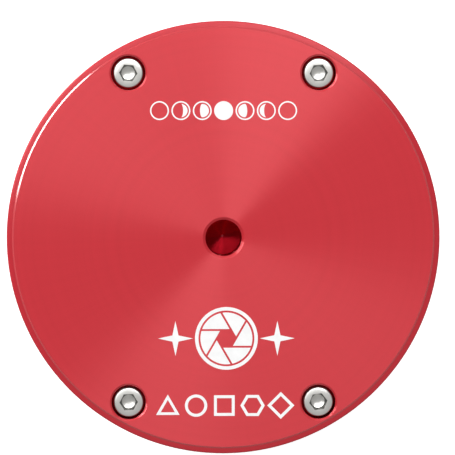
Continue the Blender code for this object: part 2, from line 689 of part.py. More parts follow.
# ---------------------------------------------------------------- sockets
def make_usb_socket():
    """A USB 3 type B socket: a steel shell round a plastic insert with a stepped mouth."""
    low, high = socket_box(USB_FACE_X, USB_Y, USB_SIZE)
    shell = block("usb_shell", low, high, STEEL)
    inner_low = tuple(v + USB_WALL for v in low)
    inner_high = (high[0] + 2 * OVERCUT, high[1] - USB_WALL, high[2] - USB_WALL)
    boolean(shell, block("usb_shell_hollow", inner_low, inner_high))
    insert_low = tuple(v + GAP for v in inner_low)
    insert_high = (high[0] - USB_INSERT_INSET, inner_high[1] - GAP, inner_high[2] - GAP)
    insert = block("usb_insert", insert_low, insert_high, USB_PLASTIC)

    def part_of_mouth(name, half, z_low, z_high, x_low=high[0] - MOUTH_DEPTH, x_high=high[0] + OVERCUT):
        return block(name, (x_low, USB_Y - half, z_low), (x_high, USB_Y + half, z_high))

    mouth_low = low[2] + USB_MOUTH_FLOOR
    mouth_high = mouth_low + USB_MOUTH_HEIGHT
    boolean(insert, part_of_mouth("usb_mouth", USB_MOUTH_HALF, mouth_low, mouth_high))
    upper_low, upper_high = mouth_high - USB_UPPER_OVERLAP, mouth_high + USB_UPPER_HEIGHT
    boolean(insert, part_of_mouth("usb_upper_mouth", USB_UPPER_HALF, upper_low, upper_high))
    tongue = part_of_mouth(
        "usb_tongue", USB_TONGUE_HALF, mouth_low + USB_TONGUE[0], mouth_low + USB_TONGUE[1],
        high[0] - MOUTH_DEPTH - OVERCUT, high[0] - USB_TONGUE_INSET,
    )
    boolean(insert, tongue, "UNION")


def make_guide_socket():
    """A six-way modular jack for the autoguider lead, its latch channel downwards."""
    low, high = socket_box(GUIDE_FACE_X, GUIDE_Y, GUIDE_SIZE)
    shell = block("guide_port_housing", low, high, JACK_PLASTIC)
    back = high[0] - MOUTH_DEPTH
    mouth_half, mouth_height = GUIDE_MOUTH
    mouth_top = high[2] - GUIDE_ROOF
    mouth_bottom = mouth_top - mouth_height
    cuts = [(mouth_half, mouth_bottom, mouth_top)]
    cuts += [(half, mouth_bottom - depth, mouth_bottom + GUIDE_OVERLAP) for half, depth in GUIDE_STEPS]
    for i, (half, z_low, z_high) in enumerate(cuts):
        cut_low, cut_high = (back, GUIDE_Y - half, z_low), (high[0] + OVERCUT, GUIDE_Y + half, z_high)
        boolean(shell, block(f"guide_mouth_{i}", cut_low, cut_high))
    root_x = back + GAP
    length, half, height = CONTACT_BLOCK
    contacts = block(
        "guide_port_contacts", (root_x, GUIDE_Y - half, mouth_top - height),
        (root_x + length, GUIDE_Y + half, mouth_top - GAP), GOLD,
    )
    for i in range(WIRES):
        y = GUIDE_Y + (i - (WIRES - 1) / 2) * WIRE_PITCH
        wire = block(
            f"contact_{i}", (root_x + WIRE_X[0], y - WIRE_HALF, mouth_top - WIRE_DROP[0]),
            (root_x + WIRE_X[1], y + WIRE_HALF, mouth_top - WIRE_DROP[1]),
        )
        boolean(contacts, wire, "UNION")


make_dust_cap()
make_t2_ring()
make_front_flange()
make_window()
make_housing()
make_rear_cover()
make_screws()
make_sensor()
make_sensor_board()
make_main_board()
make_standoffs()
make_chips()
make_board_connectors()
make_usb_socket()
make_guide_socket()
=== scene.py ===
"""Looks for the planetary astronomy camera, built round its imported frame.

Pieces are made in millimetres in the frame's own axes and scaled to metres with their mesh.
Z is the optical axis, the rear cover is on top, and the sockets face +X.
"""

import json
import math

import bmesh
import bpy
from mathutils import Matrix, Vector


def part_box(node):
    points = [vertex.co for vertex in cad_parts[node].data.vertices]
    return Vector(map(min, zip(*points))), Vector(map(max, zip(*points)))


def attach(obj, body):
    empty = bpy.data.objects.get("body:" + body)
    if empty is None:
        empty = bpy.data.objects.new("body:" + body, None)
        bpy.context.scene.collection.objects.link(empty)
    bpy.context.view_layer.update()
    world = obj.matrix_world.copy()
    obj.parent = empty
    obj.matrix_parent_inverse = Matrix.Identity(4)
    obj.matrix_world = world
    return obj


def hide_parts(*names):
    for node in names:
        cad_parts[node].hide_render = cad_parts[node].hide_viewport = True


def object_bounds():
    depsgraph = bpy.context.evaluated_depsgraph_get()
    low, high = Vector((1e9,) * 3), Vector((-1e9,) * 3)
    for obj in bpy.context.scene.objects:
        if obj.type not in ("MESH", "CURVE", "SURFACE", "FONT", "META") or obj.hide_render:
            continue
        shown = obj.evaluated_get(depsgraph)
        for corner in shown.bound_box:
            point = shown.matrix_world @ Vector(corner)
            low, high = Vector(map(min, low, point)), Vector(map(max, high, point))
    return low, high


MM = 0.001
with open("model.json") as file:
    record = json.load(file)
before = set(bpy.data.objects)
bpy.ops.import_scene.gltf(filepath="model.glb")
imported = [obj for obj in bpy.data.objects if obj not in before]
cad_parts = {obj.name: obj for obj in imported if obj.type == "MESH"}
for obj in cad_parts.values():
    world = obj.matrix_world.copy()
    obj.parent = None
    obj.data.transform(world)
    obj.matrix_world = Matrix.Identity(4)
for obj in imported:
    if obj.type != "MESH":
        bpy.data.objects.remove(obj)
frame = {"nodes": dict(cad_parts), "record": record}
cad_low, cad_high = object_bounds()


def span(node):
    """Lowest and highest corner of a CAD node, in millimetres."""
    low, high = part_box(node)
    return Vector(low) / MM, Vector(high) / MM


def middle_of(low, high):
    """The middle of a box, across X and Y."""
    return (low.x + high.x) / 2, (low.y + high.y) / 2


def middles(kind):
    """The middles of four CAD nodes of a kind."""
    return [middle_of(*span(f"{kind}_{i}")) for i in range(1, 5)]


# ---- sizes read from the frame
COVER_LOW, COVER_HIGH = span("rear_cover")
HOUSING_LOW, HOUSING_HIGH = span("housing")
FLANGE_LOW, FLANGE_HIGH = span("front_flange")
RING_LOW, RING_HIGH = span("t2_ring")
CAP_HIGH = span("dust_cap")[1]
USB_LOW, USB_HIGH = span("usb_shell")
GUIDE_LOW, GUIDE_HIGH = span("guide_port_housing")
SCREW_POINTS = middles("rear_screw")
FLANGE_SCREW_POINTS = middles("flange_screw")

BODY_R = COVER_HIGH.x
Z_REAR = COVER_HIGH.z
Z_COVER = HOUSING_HIGH.z + 0.1
Z_SHOULDER = HOUSING_LOW.z
Z_FLANGE = FLANGE_LOW.z
Z_PLATE_TOP = FLANGE_HIGH.z
FLANGE_MOUTH_R = RING_HIGH.x + 0.1
PRINT = 0.02  # how far the printed marks stand off the cover
Z_FACE = Z_REAR - PRINT

# ---- sizes of what the looks add
OVERCUT = 1.0  # how far a cutter runs past what it cuts
HAIRLINE = 0.12  # chamfer each side of the joint round the body
RIM = 1.0  # width of the step turned round the rear cover
RIM_STEP = 0.22
RIM_DROP = 0.12
RIM_CORNER = 0.3
COUNTERBORE_R = 2.45
COUNTERBORE_EDGE = 0.25
SCREW_HOLE_R = 1.35
HEAD_R = 2.1
HEAD_HEIGHT = 2.5
Z_HEAD = span("rear_screw_1")[1].z - HEAD_HEIGHT  # underside of the rear screws' heads
SEAT_GAP = 0.05  # under the heads
SHANK_R = 1.25
SCREW_LENGTH = 7.0
SCREW_PITCH = 0.45
SCREW_TURNS = (4, -3, 2, 8)  # degrees, how each one's hexagon happens to stand
KEY_R = 1.12  # of the hexagon at its bottom, to its corners
KEY_FLARE = 0.2
TRIPOD_CORE_R = 2.6
TRIPOD_MOUTH_R = 2.98
TRIPOD_THREAD = 0.5
TRIPOD_PITCH = 1.27
TRIPOD_DEPTH = 5.0
DRILL_POINT = TRIPOD_CORE_R * math.tan(math.radians(31))
DRILL_TIP_R = 0.17

M42_R = 21.0
M42_FIT = 0.1
M42_CORE_R = M42_R - M42_FIT
M42_THREAD = 0.42
M42_PITCH = 0.75
M42_LEAD_IN = 0.35

TAPPED_R = 1.1
TAPPED_DEPTH = 5.4
FLANGE_HOLE_R = 0.85
SPACER_HOLE = (1.05, 2.1)  # radius and depth
STANDOFF_HOLE = (1.3, 2.4)

POCKET_X = 27.4  # the milled flat that the sockets stand in
POCKET_Z = (19.2, 35.2)
POCKET_HALF = 24.0
OUTSIDE_X = 44.0  # where cutters for the sockets end, outside the body
MOUTH_DEPTH = 12.5  # how deep the mouths of both sockets are

ARC_STEPS = 3  # steps round a rounded corner
FINE = 192  # steps round a large turned piece
SMALL = 48  # steps round a small one
KNURLED = 720  # steps round the ring, six to a tooth
RIBBED = 576  # steps round the cap, eight to a rib
WELD = 0.001  # points closer than this are one
TINY = 1e-6


# ---- mesh helpers
def placed(name, data):
    """An object in the scene, which may become a piece of the camera."""
    made = bpy.data.objects.new(name, data)
    bpy.context.scene.collection.objects.link(made)
    return made


def shape_mesh(name, operator, **settings):
    """Mesh made by one bmesh operator."""
    shape = bmesh.new()
    operator(shape, **settings)
    mesh = bpy.data.meshes.new(name)
    shape.to_mesh(mesh)
    shape.free()
    return mesh


def new_piece(name, mesh, finish, body="camera_body", replaces=()):
    """A visible piece that rides on a body, with its finish and the CAD nodes it stands for."""
    made = placed(name, mesh)
    if not mesh.materials:
        mesh.materials.append(finish)
    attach(made, body)
    if replaces:
        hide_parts(*replaces)
    return made


def softened(corners):
    """An outline of (radius, height, rounding) corners with each corner rounded by an arc."""
    points = []
    last = len(corners) - 1
    for i, corner in enumerate(corners):
        rounding = corner[2] if len(corner) > 2 else 0.0
        here = Vector(corner[:2])
        if not rounding or i in (0, last):
            points.append(tuple(here))
            continue
        before = (Vector(corners[i - 1][:2]) - here).normalized()
        after = (Vector(corners[i + 1][:2]) - here).normalized()
        half = before.angle(after) / 2
        middle = here + (before + after).normalized() * (rounding / math.sin(half))
        start = here + before * (rounding / math.tan(half)) - middle
        end = here + after * (rounding / math.tan(half)) - middle
        first = math.atan2(start.y, start.x)
        sweep = (math.atan2(end.y, end.x) - first + math.pi) % (2 * math.pi) - math.pi
        for step in range(ARC_STEPS + 1):
            angle = first + sweep * step / ARC_STEPS
            points.append((middle.x + rounding * math.cos(angle), middle.y + rounding * math.sin(angle)))
    return points


def threaded(radius, depth, pitch, top, bottom, rows_per_turn=8, fade=0.6):
    """Outline points down a threaded wall. Each has the depth of the thread there and its pitch."""
    count = max(2, round(abs(top - bottom) / pitch * rows_per_turn))
    points = []
    for i in range(count + 1):
        height = top + (bottom - top) * i / count
        near_end = min(abs(height - top), abs(height - bottom)) / (pitch * fade)
        points.append((radius, height, depth * min(1.0, near_end), pitch))
    return points


def thread_form(turns):
    """Depth of a 60 degree thread, 0 to 1, with flats at its crest and root."""
    flat = 0.125
    slope = 1.0 - abs(2.0 * (turns % 1.0) - 1.0)
    return min(1.0, max(0.0, (slope - flat) / (1.0 - 2.0 * flat)))


def lathe(name, outline, steps=FINE, closed=False, ripple=None):
    """Mesh of a turned piece. An outline point is (radius, height), with a thread's depth and
    pitch after it where the wall is threaded. The ripple moves the radius by (angle, height)."""
    verts = []
    rings = []
    for point in outline:
        radius, height = point[0], point[1]
        if radius < TINY:
            rings.append([len(verts)])
            verts.append((0.0, 0.0, height * MM))
            continue
        ring = []
        for step in range(steps):
            angle = 2 * math.pi * step / steps
            r = radius
            if len(point) == 4:
                r += point[2] * thread_form(height / point[3] - step / steps)
            if ripple:
                r += ripple(angle, radius, height)
            ring.append(len(verts))
            verts.append((r * math.cos(angle) * MM, r * math.sin(angle) * MM, height * MM))
        rings.append(ring)
    faces = []
    pairs = list(zip(rings, rings[1:]))
    if closed:
        pairs.append((rings[-1], rings[0]))
    for upper, lower in pairs:
        for step in range(steps):
            ahead = (step + 1) % steps
            if len(upper) == 1:
                faces.append((upper[0], lower[step], lower[ahead]))
            elif len(lower) == 1:
                faces.append((upper[ahead], upper[step], lower[0]))
            else:
                faces.append((upper[ahead], upper[step], lower[step], lower[ahead]))
    mesh = bpy.data.meshes.new(name)
    mesh.from_pydata(verts, [], faces)
    return outward(mesh)


def finished(mesh, *finishes):
    """The mesh, with these finishes in its material slots."""
    for finish in finishes:
        mesh.materials.append(finish)
    return mesh


def outward(mesh, merge=0.0):
    """The mesh with its faces turned outwards, and points closer than the merge made one."""
    shape = bmesh.new()
    shape.from_mesh(mesh)
    if merge:
        bmesh.ops.remove_doubles(shape, verts=shape.verts, dist=merge * MM)
    bmesh.ops.recalc_face_normals(shape, faces=shape.faces)
    shape.to_mesh(mesh)
    shape.free()
    return mesh


def evaluated_mesh(made):
    """The mesh that an object's curve or modifiers give. The object is removed."""
    bpy.context.view_layer.update()
    graph = bpy.context.evaluated_depsgraph_get()
    mesh = bpy.data.meshes.new_from_object(made.evaluated_get(graph))
    bpy.data.objects.remove(made, do_unlink=True)
    return mesh


def moved(mesh, x, y, z=0.0):
    """The mesh, moved by this much."""
    mesh.transform(Matrix.Translation(Vector((x, y, z)) * MM))
    return mesh


def prism(name, radius, bottom, top, steps=SMALL, place=(0.0, 0.0), turn=0.0, flare=0.0):
    """Mesh of an upright bar, round or many-sided, that widens upwards by the flare."""
    put = Matrix.Translation(Vector((*place, (bottom + top) / 2)) * MM)
    return shape_mesh(
        name, bmesh.ops.create_cone, cap_ends=True, segments=steps, radius1=radius * MM,
        radius2=(radius + flare) * MM, depth=(top - bottom) * MM,
        matrix=put @ Matrix.Rotation(turn, 4, "Z"),
    )


def box_mesh(name, low, high, rounding=0.0, segments=2):
    """Mesh of a box between two corners, with rounded edges."""
    low, high = Vector(low), Vector(high)
    shape = bmesh.new()
    put = Matrix.Translation((low + high) / 2 * MM) @ Matrix.Diagonal((*((high - low) * MM), 1.0))
    bmesh.ops.create_cube(shape, size=1.0, matrix=put)
    if rounding:
        bmesh.ops.bevel(
            shape, geom=list(shape.edges), offset=rounding * MM, segments=segments,
            affect="EDGES", profile=0.5,
        )
    mesh = bpy.data.meshes.new(name)
    shape.to_mesh(mesh)
    shape.free()
    return mesh


def slab(name, x, y, half, z, rounding=0.0, segments=2):
    """Mesh of a box from its ends along X, its middle and half width along Y, and its levels."""
    return box_mesh(name, (x[0], y - half, z[0]), (x[1], y + half, z[1]), rounding, segments)


def joined(name, meshes):
    """One mesh of several separate closed solids."""
    shape = bmesh.new()
    for mesh in meshes:
        shape.from_mesh(mesh)
        bpy.data.meshes.remove(mesh)
    mesh = bpy.data.meshes.new(name)
    shape.to_mesh(mesh)
    shape.free()
    return mesh


def carved(mesh, cuts, operation="DIFFERENCE"):
    """The mesh with every cut taken out of it, or added to it."""
    body = placed(mesh.name + "_blank", mesh)
    tools = []
    for cut in cuts:
        tool = placed(cut.name, cut)
        step = body.modifiers.new(cut.name, "BOOLEAN")
        step.operation = operation
        step.solver = "EXACT"
        step.material_mode = "TRANSFER" if cut.materials else "INDEX"
        step.object = tool
        tools.append(tool)
    name = mesh.name
    result = evaluated_mesh(body)
    result.name = name
    for used in tools:
        bpy.data.objects.remove(used, do_unlink=True)
    return result


def shaded(made, angle=35.0):
    """Smooth shading that keeps sharp edges sharp and flat faces flat."""
    made.data.shade_smooth()
    made.data.set_sharp_from_angle(angle=math.radians(angle))
    even = made.modifiers.new("even_shading", "WEIGHTED_NORMAL")
    even.keep_sharp = True
    even.weight = 100
    return made


def ring_points(radius, angles):
    """Points on a circle about the optical axis, at angles in degrees."""
    return [(radius * math.cos(math.radians(a)), radius * math.sin(math.radians(a))) for a in angles]


# ---- materials
def principled(name, settings):
    """A material, and its Principled shader with these settings."""
    made = bpy.data.materials.new(name)
    made.use_nodes = True
    shader = made.node_tree.nodes["Principled BSDF"]
    for socket, value in settings.items():
        shader.inputs[socket].default_value = value
    return made, shader


def node(made, kind, inputs=None, output=0, **settings):
    """Adds a node. Its inputs are numbers, colours or other nodes' outputs."""
    new = made.node_tree.nodes.new("ShaderNode" + kind)
    for key, value in settings.items():
        setattr(new, key, value)
    for socket, value in (inputs or {}).items():
        if isinstance(value, bpy.types.NodeSocket):
            made.node_tree.links.new(value, new.inputs[socket])
        else:
            new.inputs[socket].default_value = value
    return new.outputs[output]


def link(made, output, shader, socket):
    """Drives one of the shader's settings from a node's output."""
    made.node_tree.links.new(output, shader.inputs[socket])


def place_mm(made):
    """Where on the object a point is, in millimetres."""
    here = node(made, "TexCoord", output="Object")
    return node(made, "VectorMath", {0: here, 3: 1 / MM}, operation="SCALE")


def noise(made, vector, scale, detail=2.0, roughness=0.5):
    """Noise between about 0.3 and 0.7."""
    inputs = {"Vector": vector, "Scale": scale, "Detail": detail, "Roughness": roughness}
    return node(made, "TexNoise", inputs, output="Fac")


def remap(made, value, low, high, from_low=0.3, from_high=0.7):
    """The value's range from_low to from_high brought to low to high."""
    inputs = {0: value, 1: from_low, 2: from_high, 3: low, 4: high}
    return node(made, "MapRange", inputs)


def blended(made, factor, first, second):
    """A mix of two colours, each a triple or another node's output."""
    new = made.node_tree.nodes.new("ShaderNodeMix")
    new.data_type = "RGBA"
    made.node_tree.links.new(factor, new.inputs[0])
    for socket, value in ((new.inputs[6], first), (new.inputs[7], second)):
        if isinstance(value, bpy.types.NodeSocket):
            made.node_tree.links.new(value, socket)
        else:
            socket.default_value = (*value, 1.0)
    return new.outputs[2]


def bumped(made, shader, height, depth_mm):
    """Drives the shader's normal from a height between 0 and 1, this deep."""
    inputs = {"Strength": 1.0, "Distance": depth_mm * MM, "Height": height}
    link(made, node(made, "Bump", inputs), shader, "Normal")


def turned_metal(name, colour, shade, roughness, grooves=0.0011, spread=0.05, **settings):
    """Metal faced or turned on a lathe: fine rings on flat faces and rings round the walls, which
    stretch a highlight across them, and faint streaks that fan out from the axis."""
    look = {"Metallic": 1.0, "Anisotropic": 0.85, "Anisotropic Rotation": 0.25}
    look.update(settings)
    made, shader = principled(name, look)
    here = place_mm(made)
    parts = node(made, "SeparateXYZ", {0: here}).node
    flat = node(made, "CombineXYZ", {0: parts.outputs[0], 1: parts.outputs[1], 2: 0.0})
    radius = node(made, "VectorMath", {0: flat}, output="Value", operation="LENGTH")
    facing = node(made, "NewGeometry", output="True Normal")
    upward = node(made, "SeparateXYZ", {0: facing}, output=2)
    upward = node(made, "Math", {0: upward}, operation="ABSOLUTE")
    along = node(made, "Mix", {0: upward, 2: parts.outputs[2], 3: radius})
    rings = node(made, "TexNoise", {"W": along, "Scale": 9.0, "Detail": 3.0}, noise_dimensions="1D")
    bands = node(made, "TexNoise", {"W": along, "Scale": 0.9, "Detail": 2.0}, noise_dimensions="1D")
    outward_way = node(made, "VectorMath", {0: flat}, operation="NORMALIZE")
    streaks = noise(made, outward_way, 26.0, 3.0, 0.6)
    tone = node(made, "Mix", {0: 0.5, 2: bands, 3: streaks})
    link(made, blended(made, remap(made, tone, 0.0, 1.0), colour, shade), shader, "Base Color")
    rough = node(made, "Mix", {0: 0.35, 2: streaks, 3: rings})
    link(made, remap(made, rough, roughness - spread, roughness + spread), shader, "Roughness")
    bumped(made, shader, rings, grooves)
    around = node(made, "Tangent", direction_type="RADIAL", axis="Z")
    link(made, around, shader, "Tangent")
    return made


def moulded(name, colour, shade, roughness, grain, depth, spread=0.06, **settings):
    """A moulded or dull surface with a fine grain and a slight change of tone."""
    made, shader = principled(name, settings)
    here = place_mm(made)
    fine = noise(made, here, grain, 3.0, 0.6)
    broad = noise(made, here, grain * 0.05, 2.0)
    link(made, blended(made, remap(made, broad, 0.0, 1.0), colour, shade), shader, "Base Color")
    link(made, remap(made, fine, roughness - spread, roughness + spread), shader, "Roughness")
    bumped(made, shader, fine, depth)
    return made


def drawn_metal(name, colour, shade, roughness, stretch=(1.0, 1.0, 12.0), spread=0.07):
    """Sheet or bar metal with fine lines drawn across the stretched axis."""
    made, shader = principled(name, {"Metallic": 1.0})
    here = node(made, "VectorMath", {0: place_mm(made), 1: stretch}, operation="MULTIPLY")
    lines = noise(made, here, 2.5, 4.0, 0.65)
    link(made, blended(made, remap(made, lines, 0.0, 1.0), colour, shade), shader, "Base Color")
    link(made, remap(made, lines, roughness - spread, roughness + spread), shader, "Roughness")
    bumped(made, shader, lines, 0.002)
    return made


def board_finish():
    """Green solder resist over copper tracks, with gold pads."""
    made, shader = principled("circuit_board", {"Coat Weight": 0.3, "Coat Roughness": 0.2})
    here = place_mm(made)
    tracks = node(
        made, "TexVoronoi", {"Vector": here, "Scale": 0.55}, feature="F1", distance="CHEBYCHEV",
        output="Distance",
    )
    rings = node(made, "Math", {0: tracks, 1: 5.0}, operation="MULTIPLY")
    rings = node(made, "Math", {0: rings, 1: 1.0}, operation="PINGPONG")
    copper = remap(made, rings, 0.0, 1.0, 0.42, 0.58)
    resist = blended(made, copper, (0.006, 0.045, 0.02), (0.012, 0.10, 0.045))
    pads = node(made, "TexVoronoi", {"Vector": here, "Scale": 0.8}, output="Distance")
    bare = remap(made, pads, 1.0, 0.0, 0.10, 0.14)
    link(made, blended(made, bare, resist, (0.80, 0.58, 0.24)), shader, "Base Color")
    link(made, bare, shader, "Metallic")
    link(made, remap(made, copper, 0.42, 0.30, 0.0, 1.0), shader, "Roughness")
    bumped(made, shader, copper, 0.03)
    return made


def glass_finish(name, tint, film):
    """Coated optical glass with a few faint marks from cleaning."""
    settings = {
        "Base Color": (*tint, 1.0), "Transmission Weight": 1.0, "IOR": 1.5,
        "Thin Film Thickness": film, "Thin Film IOR": 1.38,
    }
    made, shader = principled(name, settings)
    marks = noise(made, place_mm(made), 0.35, 4.0, 0.6)
    link(made, remap(made, marks, 0.005, 0.05, 0.45, 0.75), shader, "Roughness")
    return made


def die_finish():
    """The silicon die: a fine colour filter grid with a soft sheen of changing hue."""
    look = {"Metallic": 0.6, "Coat Weight": 0.6, "Thin Film Thickness": 420.0}
    made, shader = principled("sensor_die", look)
    here = place_mm(made)
    filters = {"Scale": 34.0, "Color1": (0.07, 0.13, 0.10, 1.0), "Color2": (0.12, 0.06, 0.12, 1.0)}
    cells = node(made, "TexChecker", {"Vector": here, **filters}, output="Color")
    link(made, cells, shader, "Base Color")
    fine = noise(made, here, 40.0, 1.0)
    link(made, remap(made, fine, 0.12, 0.2), shader, "Roughness")
    return made


RED = turned_metal(
    "red_anodised", (0.62, 0.017, 0.030), (0.59, 0.015, 0.027), 0.30, spread=0.012,
    **{"Metallic": 0.28, "Specular IOR Level": 1.0, "Anisotropic": 0.96},
)
RED_EDGE = turned_metal(
    "red_anodised_edge", (0.63, 0.020, 0.033), (0.59, 0.018, 0.030), 0.25, spread=0.02,
    **{
        "Metallic": 0.25, "Specular IOR Level": 1.0, "Coat Weight": 1.0, "Coat IOR": 2.0,
        "Coat Roughness": 0.16,
    },
)
# A darker, less shiny copy of the face red for the band round the rim: painted shade.
RED_RIM_SHADED = turned_metal(
    "red_anodised_rim_painted_shade", (0.50, 0.018, 0.030), (0.46, 0.016, 0.027), 0.34, spread=0.02,
    **{"Metallic": 0.15, "Specular IOR Level": 0.45},
)
# A darker, fully metallic copy of the red: painted shade for the walls of the tapped hole and the
# counterbores.
SHADED_BORE_RED = turned_metal("red_anodised_bore_painted_shade", (0.55, 0.010, 0.024), (0.40, 0.006, 0.014), 0.22, 0.002)
BLACK = turned_metal("black_anodised", (0.016, 0.016, 0.018), (0.026, 0.026, 0.029), 0.36)
STEEL = turned_metal(
    "stainless_steel", (0.78, 0.77, 0.74), (0.72, 0.71, 0.68), 0.36, 0.0008, Anisotropic=0.3,
)
# A dark grey copy of the screw steel for the hex socket's walls: painted shade in the recess.
SOCKET_SHADE = moulded(
    "screw_socket_painted_shade", (0.26, 0.26, 0.25), (0.20, 0.20, 0.19), 0.4, 9.0, 0.01, Metallic=1.0,
)
SHELL_STEEL = drawn_metal("shell_steel", (0.62, 0.62, 0.60), (0.52, 0.52, 0.50), 0.3, (12.0, 1.0, 1.0))
BRASS = drawn_metal("brass", (0.72, 0.50, 0.20), (0.62, 0.42, 0.16), 0.3)
GOLD = drawn_metal("gold_contacts", (0.90, 0.66, 0.27), (0.82, 0.58, 0.22), 0.2, (12.0, 1.0, 1.0))
CAN = drawn_metal("nickel_can", (0.62, 0.62, 0.60), (0.54, 0.54, 0.52), 0.32)
CAP_PLASTIC = moulded("cap_plastic", (0.016, 0.016, 0.017), (0.024, 0.024, 0.026), 0.5, 7.0, 0.02)
JACK_PLASTIC = moulded("jack_plastic", (0.014, 0.014, 0.015), (0.022, 0.022, 0.024), 0.42, 9.0, 0.01)
USB_PLASTIC = moulded("usb_plastic", (0.012, 0.075, 0.42), (0.016, 0.09, 0.48), 0.4, 9.0, 0.01)
RUBBER = moulded("seal_rubber", (0.012, 0.012, 0.012), (0.02, 0.02, 0.02), 0.75, 12.0, 0.03)
CHIP = moulded("chip_package", (0.018, 0.018, 0.019), (0.03, 0.03, 0.032), 0.5, 14.0, 0.015)
PAD = moulded("thermal_pad", (0.34, 0.40, 0.50), (0.42, 0.48, 0.58), 0.85, 5.0, 0.05)
PAINT = moulded("white_print", (0.88, 0.88, 0.88), (0.82, 0.82, 0.82), 0.45, 16.0, 0.004)
BOARD = board_finish()
WINDOW = glass_finish("coated_glass", (0.93, 1.0, 0.97), 260.0)
DIE = die_finish()


# ---- rear cover and its screws
# The HOLE and LAND slots hold darker reds painted as shade.
FACE, HOLE, FACET, LAND = range(4)  # the cover's finishes, by their material slots


def cover_outline():
    """The rear cover from the bottom of its hole, out over the face and back to the middle."""
    mouth = Z_FACE - (TRIPOD_MOUTH_R - TRIPOD_CORE_R)
    bottom = Z_REAR - TRIPOD_DEPTH
    plateau, plateau_r, boss_r = 1.0, 23.6, 6.0
    tip = bottom - DRILL_POINT
    hole = [(0.0, tip), (DRILL_TIP_R, tip), (TRIPOD_CORE_R, bottom)]
    hole += threaded(TRIPOD_CORE_R, TRIPOD_THREAD, TRIPOD_PITCH, bottom + TRIPOD_THREAD, mouth)
    face_and_side = softened([
        (TRIPOD_CORE_R, mouth), (TRIPOD_MOUTH_R, Z_FACE, 0.06),
        (BODY_R - RIM, Z_FACE), (BODY_R - RIM + RIM_STEP, Z_FACE - RIM_STEP),
        (BODY_R, Z_FACE - RIM_STEP - RIM_DROP, RIM_CORNER),
        (BODY_R, Z_COVER + HAIRLINE, 0.05), (BODY_R - HAIRLINE, Z_COVER),
    ])
    inside = softened([
        (plateau_r, Z_COVER), (plateau_r, Z_COVER - plateau, 0.2),
        (boss_r, Z_COVER - plateau, 0.4), (boss_r, COVER_LOW.z, 0.2), (0.0, COVER_LOW.z),
    ])
    return hole + face_and_side[1:] + inside


def cover_finish(radius, height):
    """Which of the cover's materials a face has, from where its middle is. The hole and the rim take
    darker reds as painted shade.
    """
    near = 0.1
    hole_bottom = Z_REAR - TRIPOD_DEPTH - DRILL_POINT
    edge_r = BODY_R - RIM
    # Hole walls: painted shade. The drill point's small tip keeps the face red.
    if DRILL_TIP_R * 0.9 < radius < TRIPOD_CORE_R + near and height > hole_bottom - near:
        return HOLE
    if 0 < radius - edge_r < RIM_STEP and height > Z_FACE - RIM_STEP:
        return FACET
    # Rim band: darker red, painted shade.
    if radius > edge_r and height > Z_FACE - RIM:
        return LAND
    return FACE


def counterbore(place, seat):
    """Mesh of the cutter for a screw's counterbore, seat and hole. Its walls carry the darker bore red as
    painted shade, and its top edge the face's red.
    """
    bore = softened([
        (0.0, Z_FACE + OVERCUT), (COUNTERBORE_R + COUNTERBORE_EDGE + OVERCUT, Z_FACE + OVERCUT),
        (COUNTERBORE_R, Z_FACE - COUNTERBORE_EDGE, 0.05), (COUNTERBORE_R, seat, 0.15),
        (SCREW_HOLE_R, seat), (SCREW_HOLE_R, Z_COVER - OVERCUT), (0.0, Z_COVER - OVERCUT),
    ])
    mesh = finished(moved(lathe("counterbore", bore, SMALL), *place), SHADED_BORE_RED, RED)
    # Below the edge the walls take the painted shade red, and the edge keeps the face red.
    for side in mesh.polygons:
        side.material_index = int(side.center.z / MM > Z_FACE - COUNTERBORE_EDGE - 0.05)
    return mesh


def make_rear_cover():
    """The turned cover, its parts in their materials with darker reds painted as shade in its hole and on
    its rim, with four counterbores.
    """
    mesh = finished(lathe("rear_cover", cover_outline()), RED, SHADED_BORE_RED, RED_EDGE, RED_RIM_SHADED)
    for side in mesh.polygons:
        middle = side.center / MM
        side.material_index = cover_finish(math.hypot(middle.x, middle.y), middle.z)
    bores = [counterbore(place, Z_HEAD - SEAT_GAP) for place in SCREW_POINTS]
    made = new_piece("rear_cover_turned", carved(mesh, bores), RED, replaces=["rear_cover"])
    shaded(made)


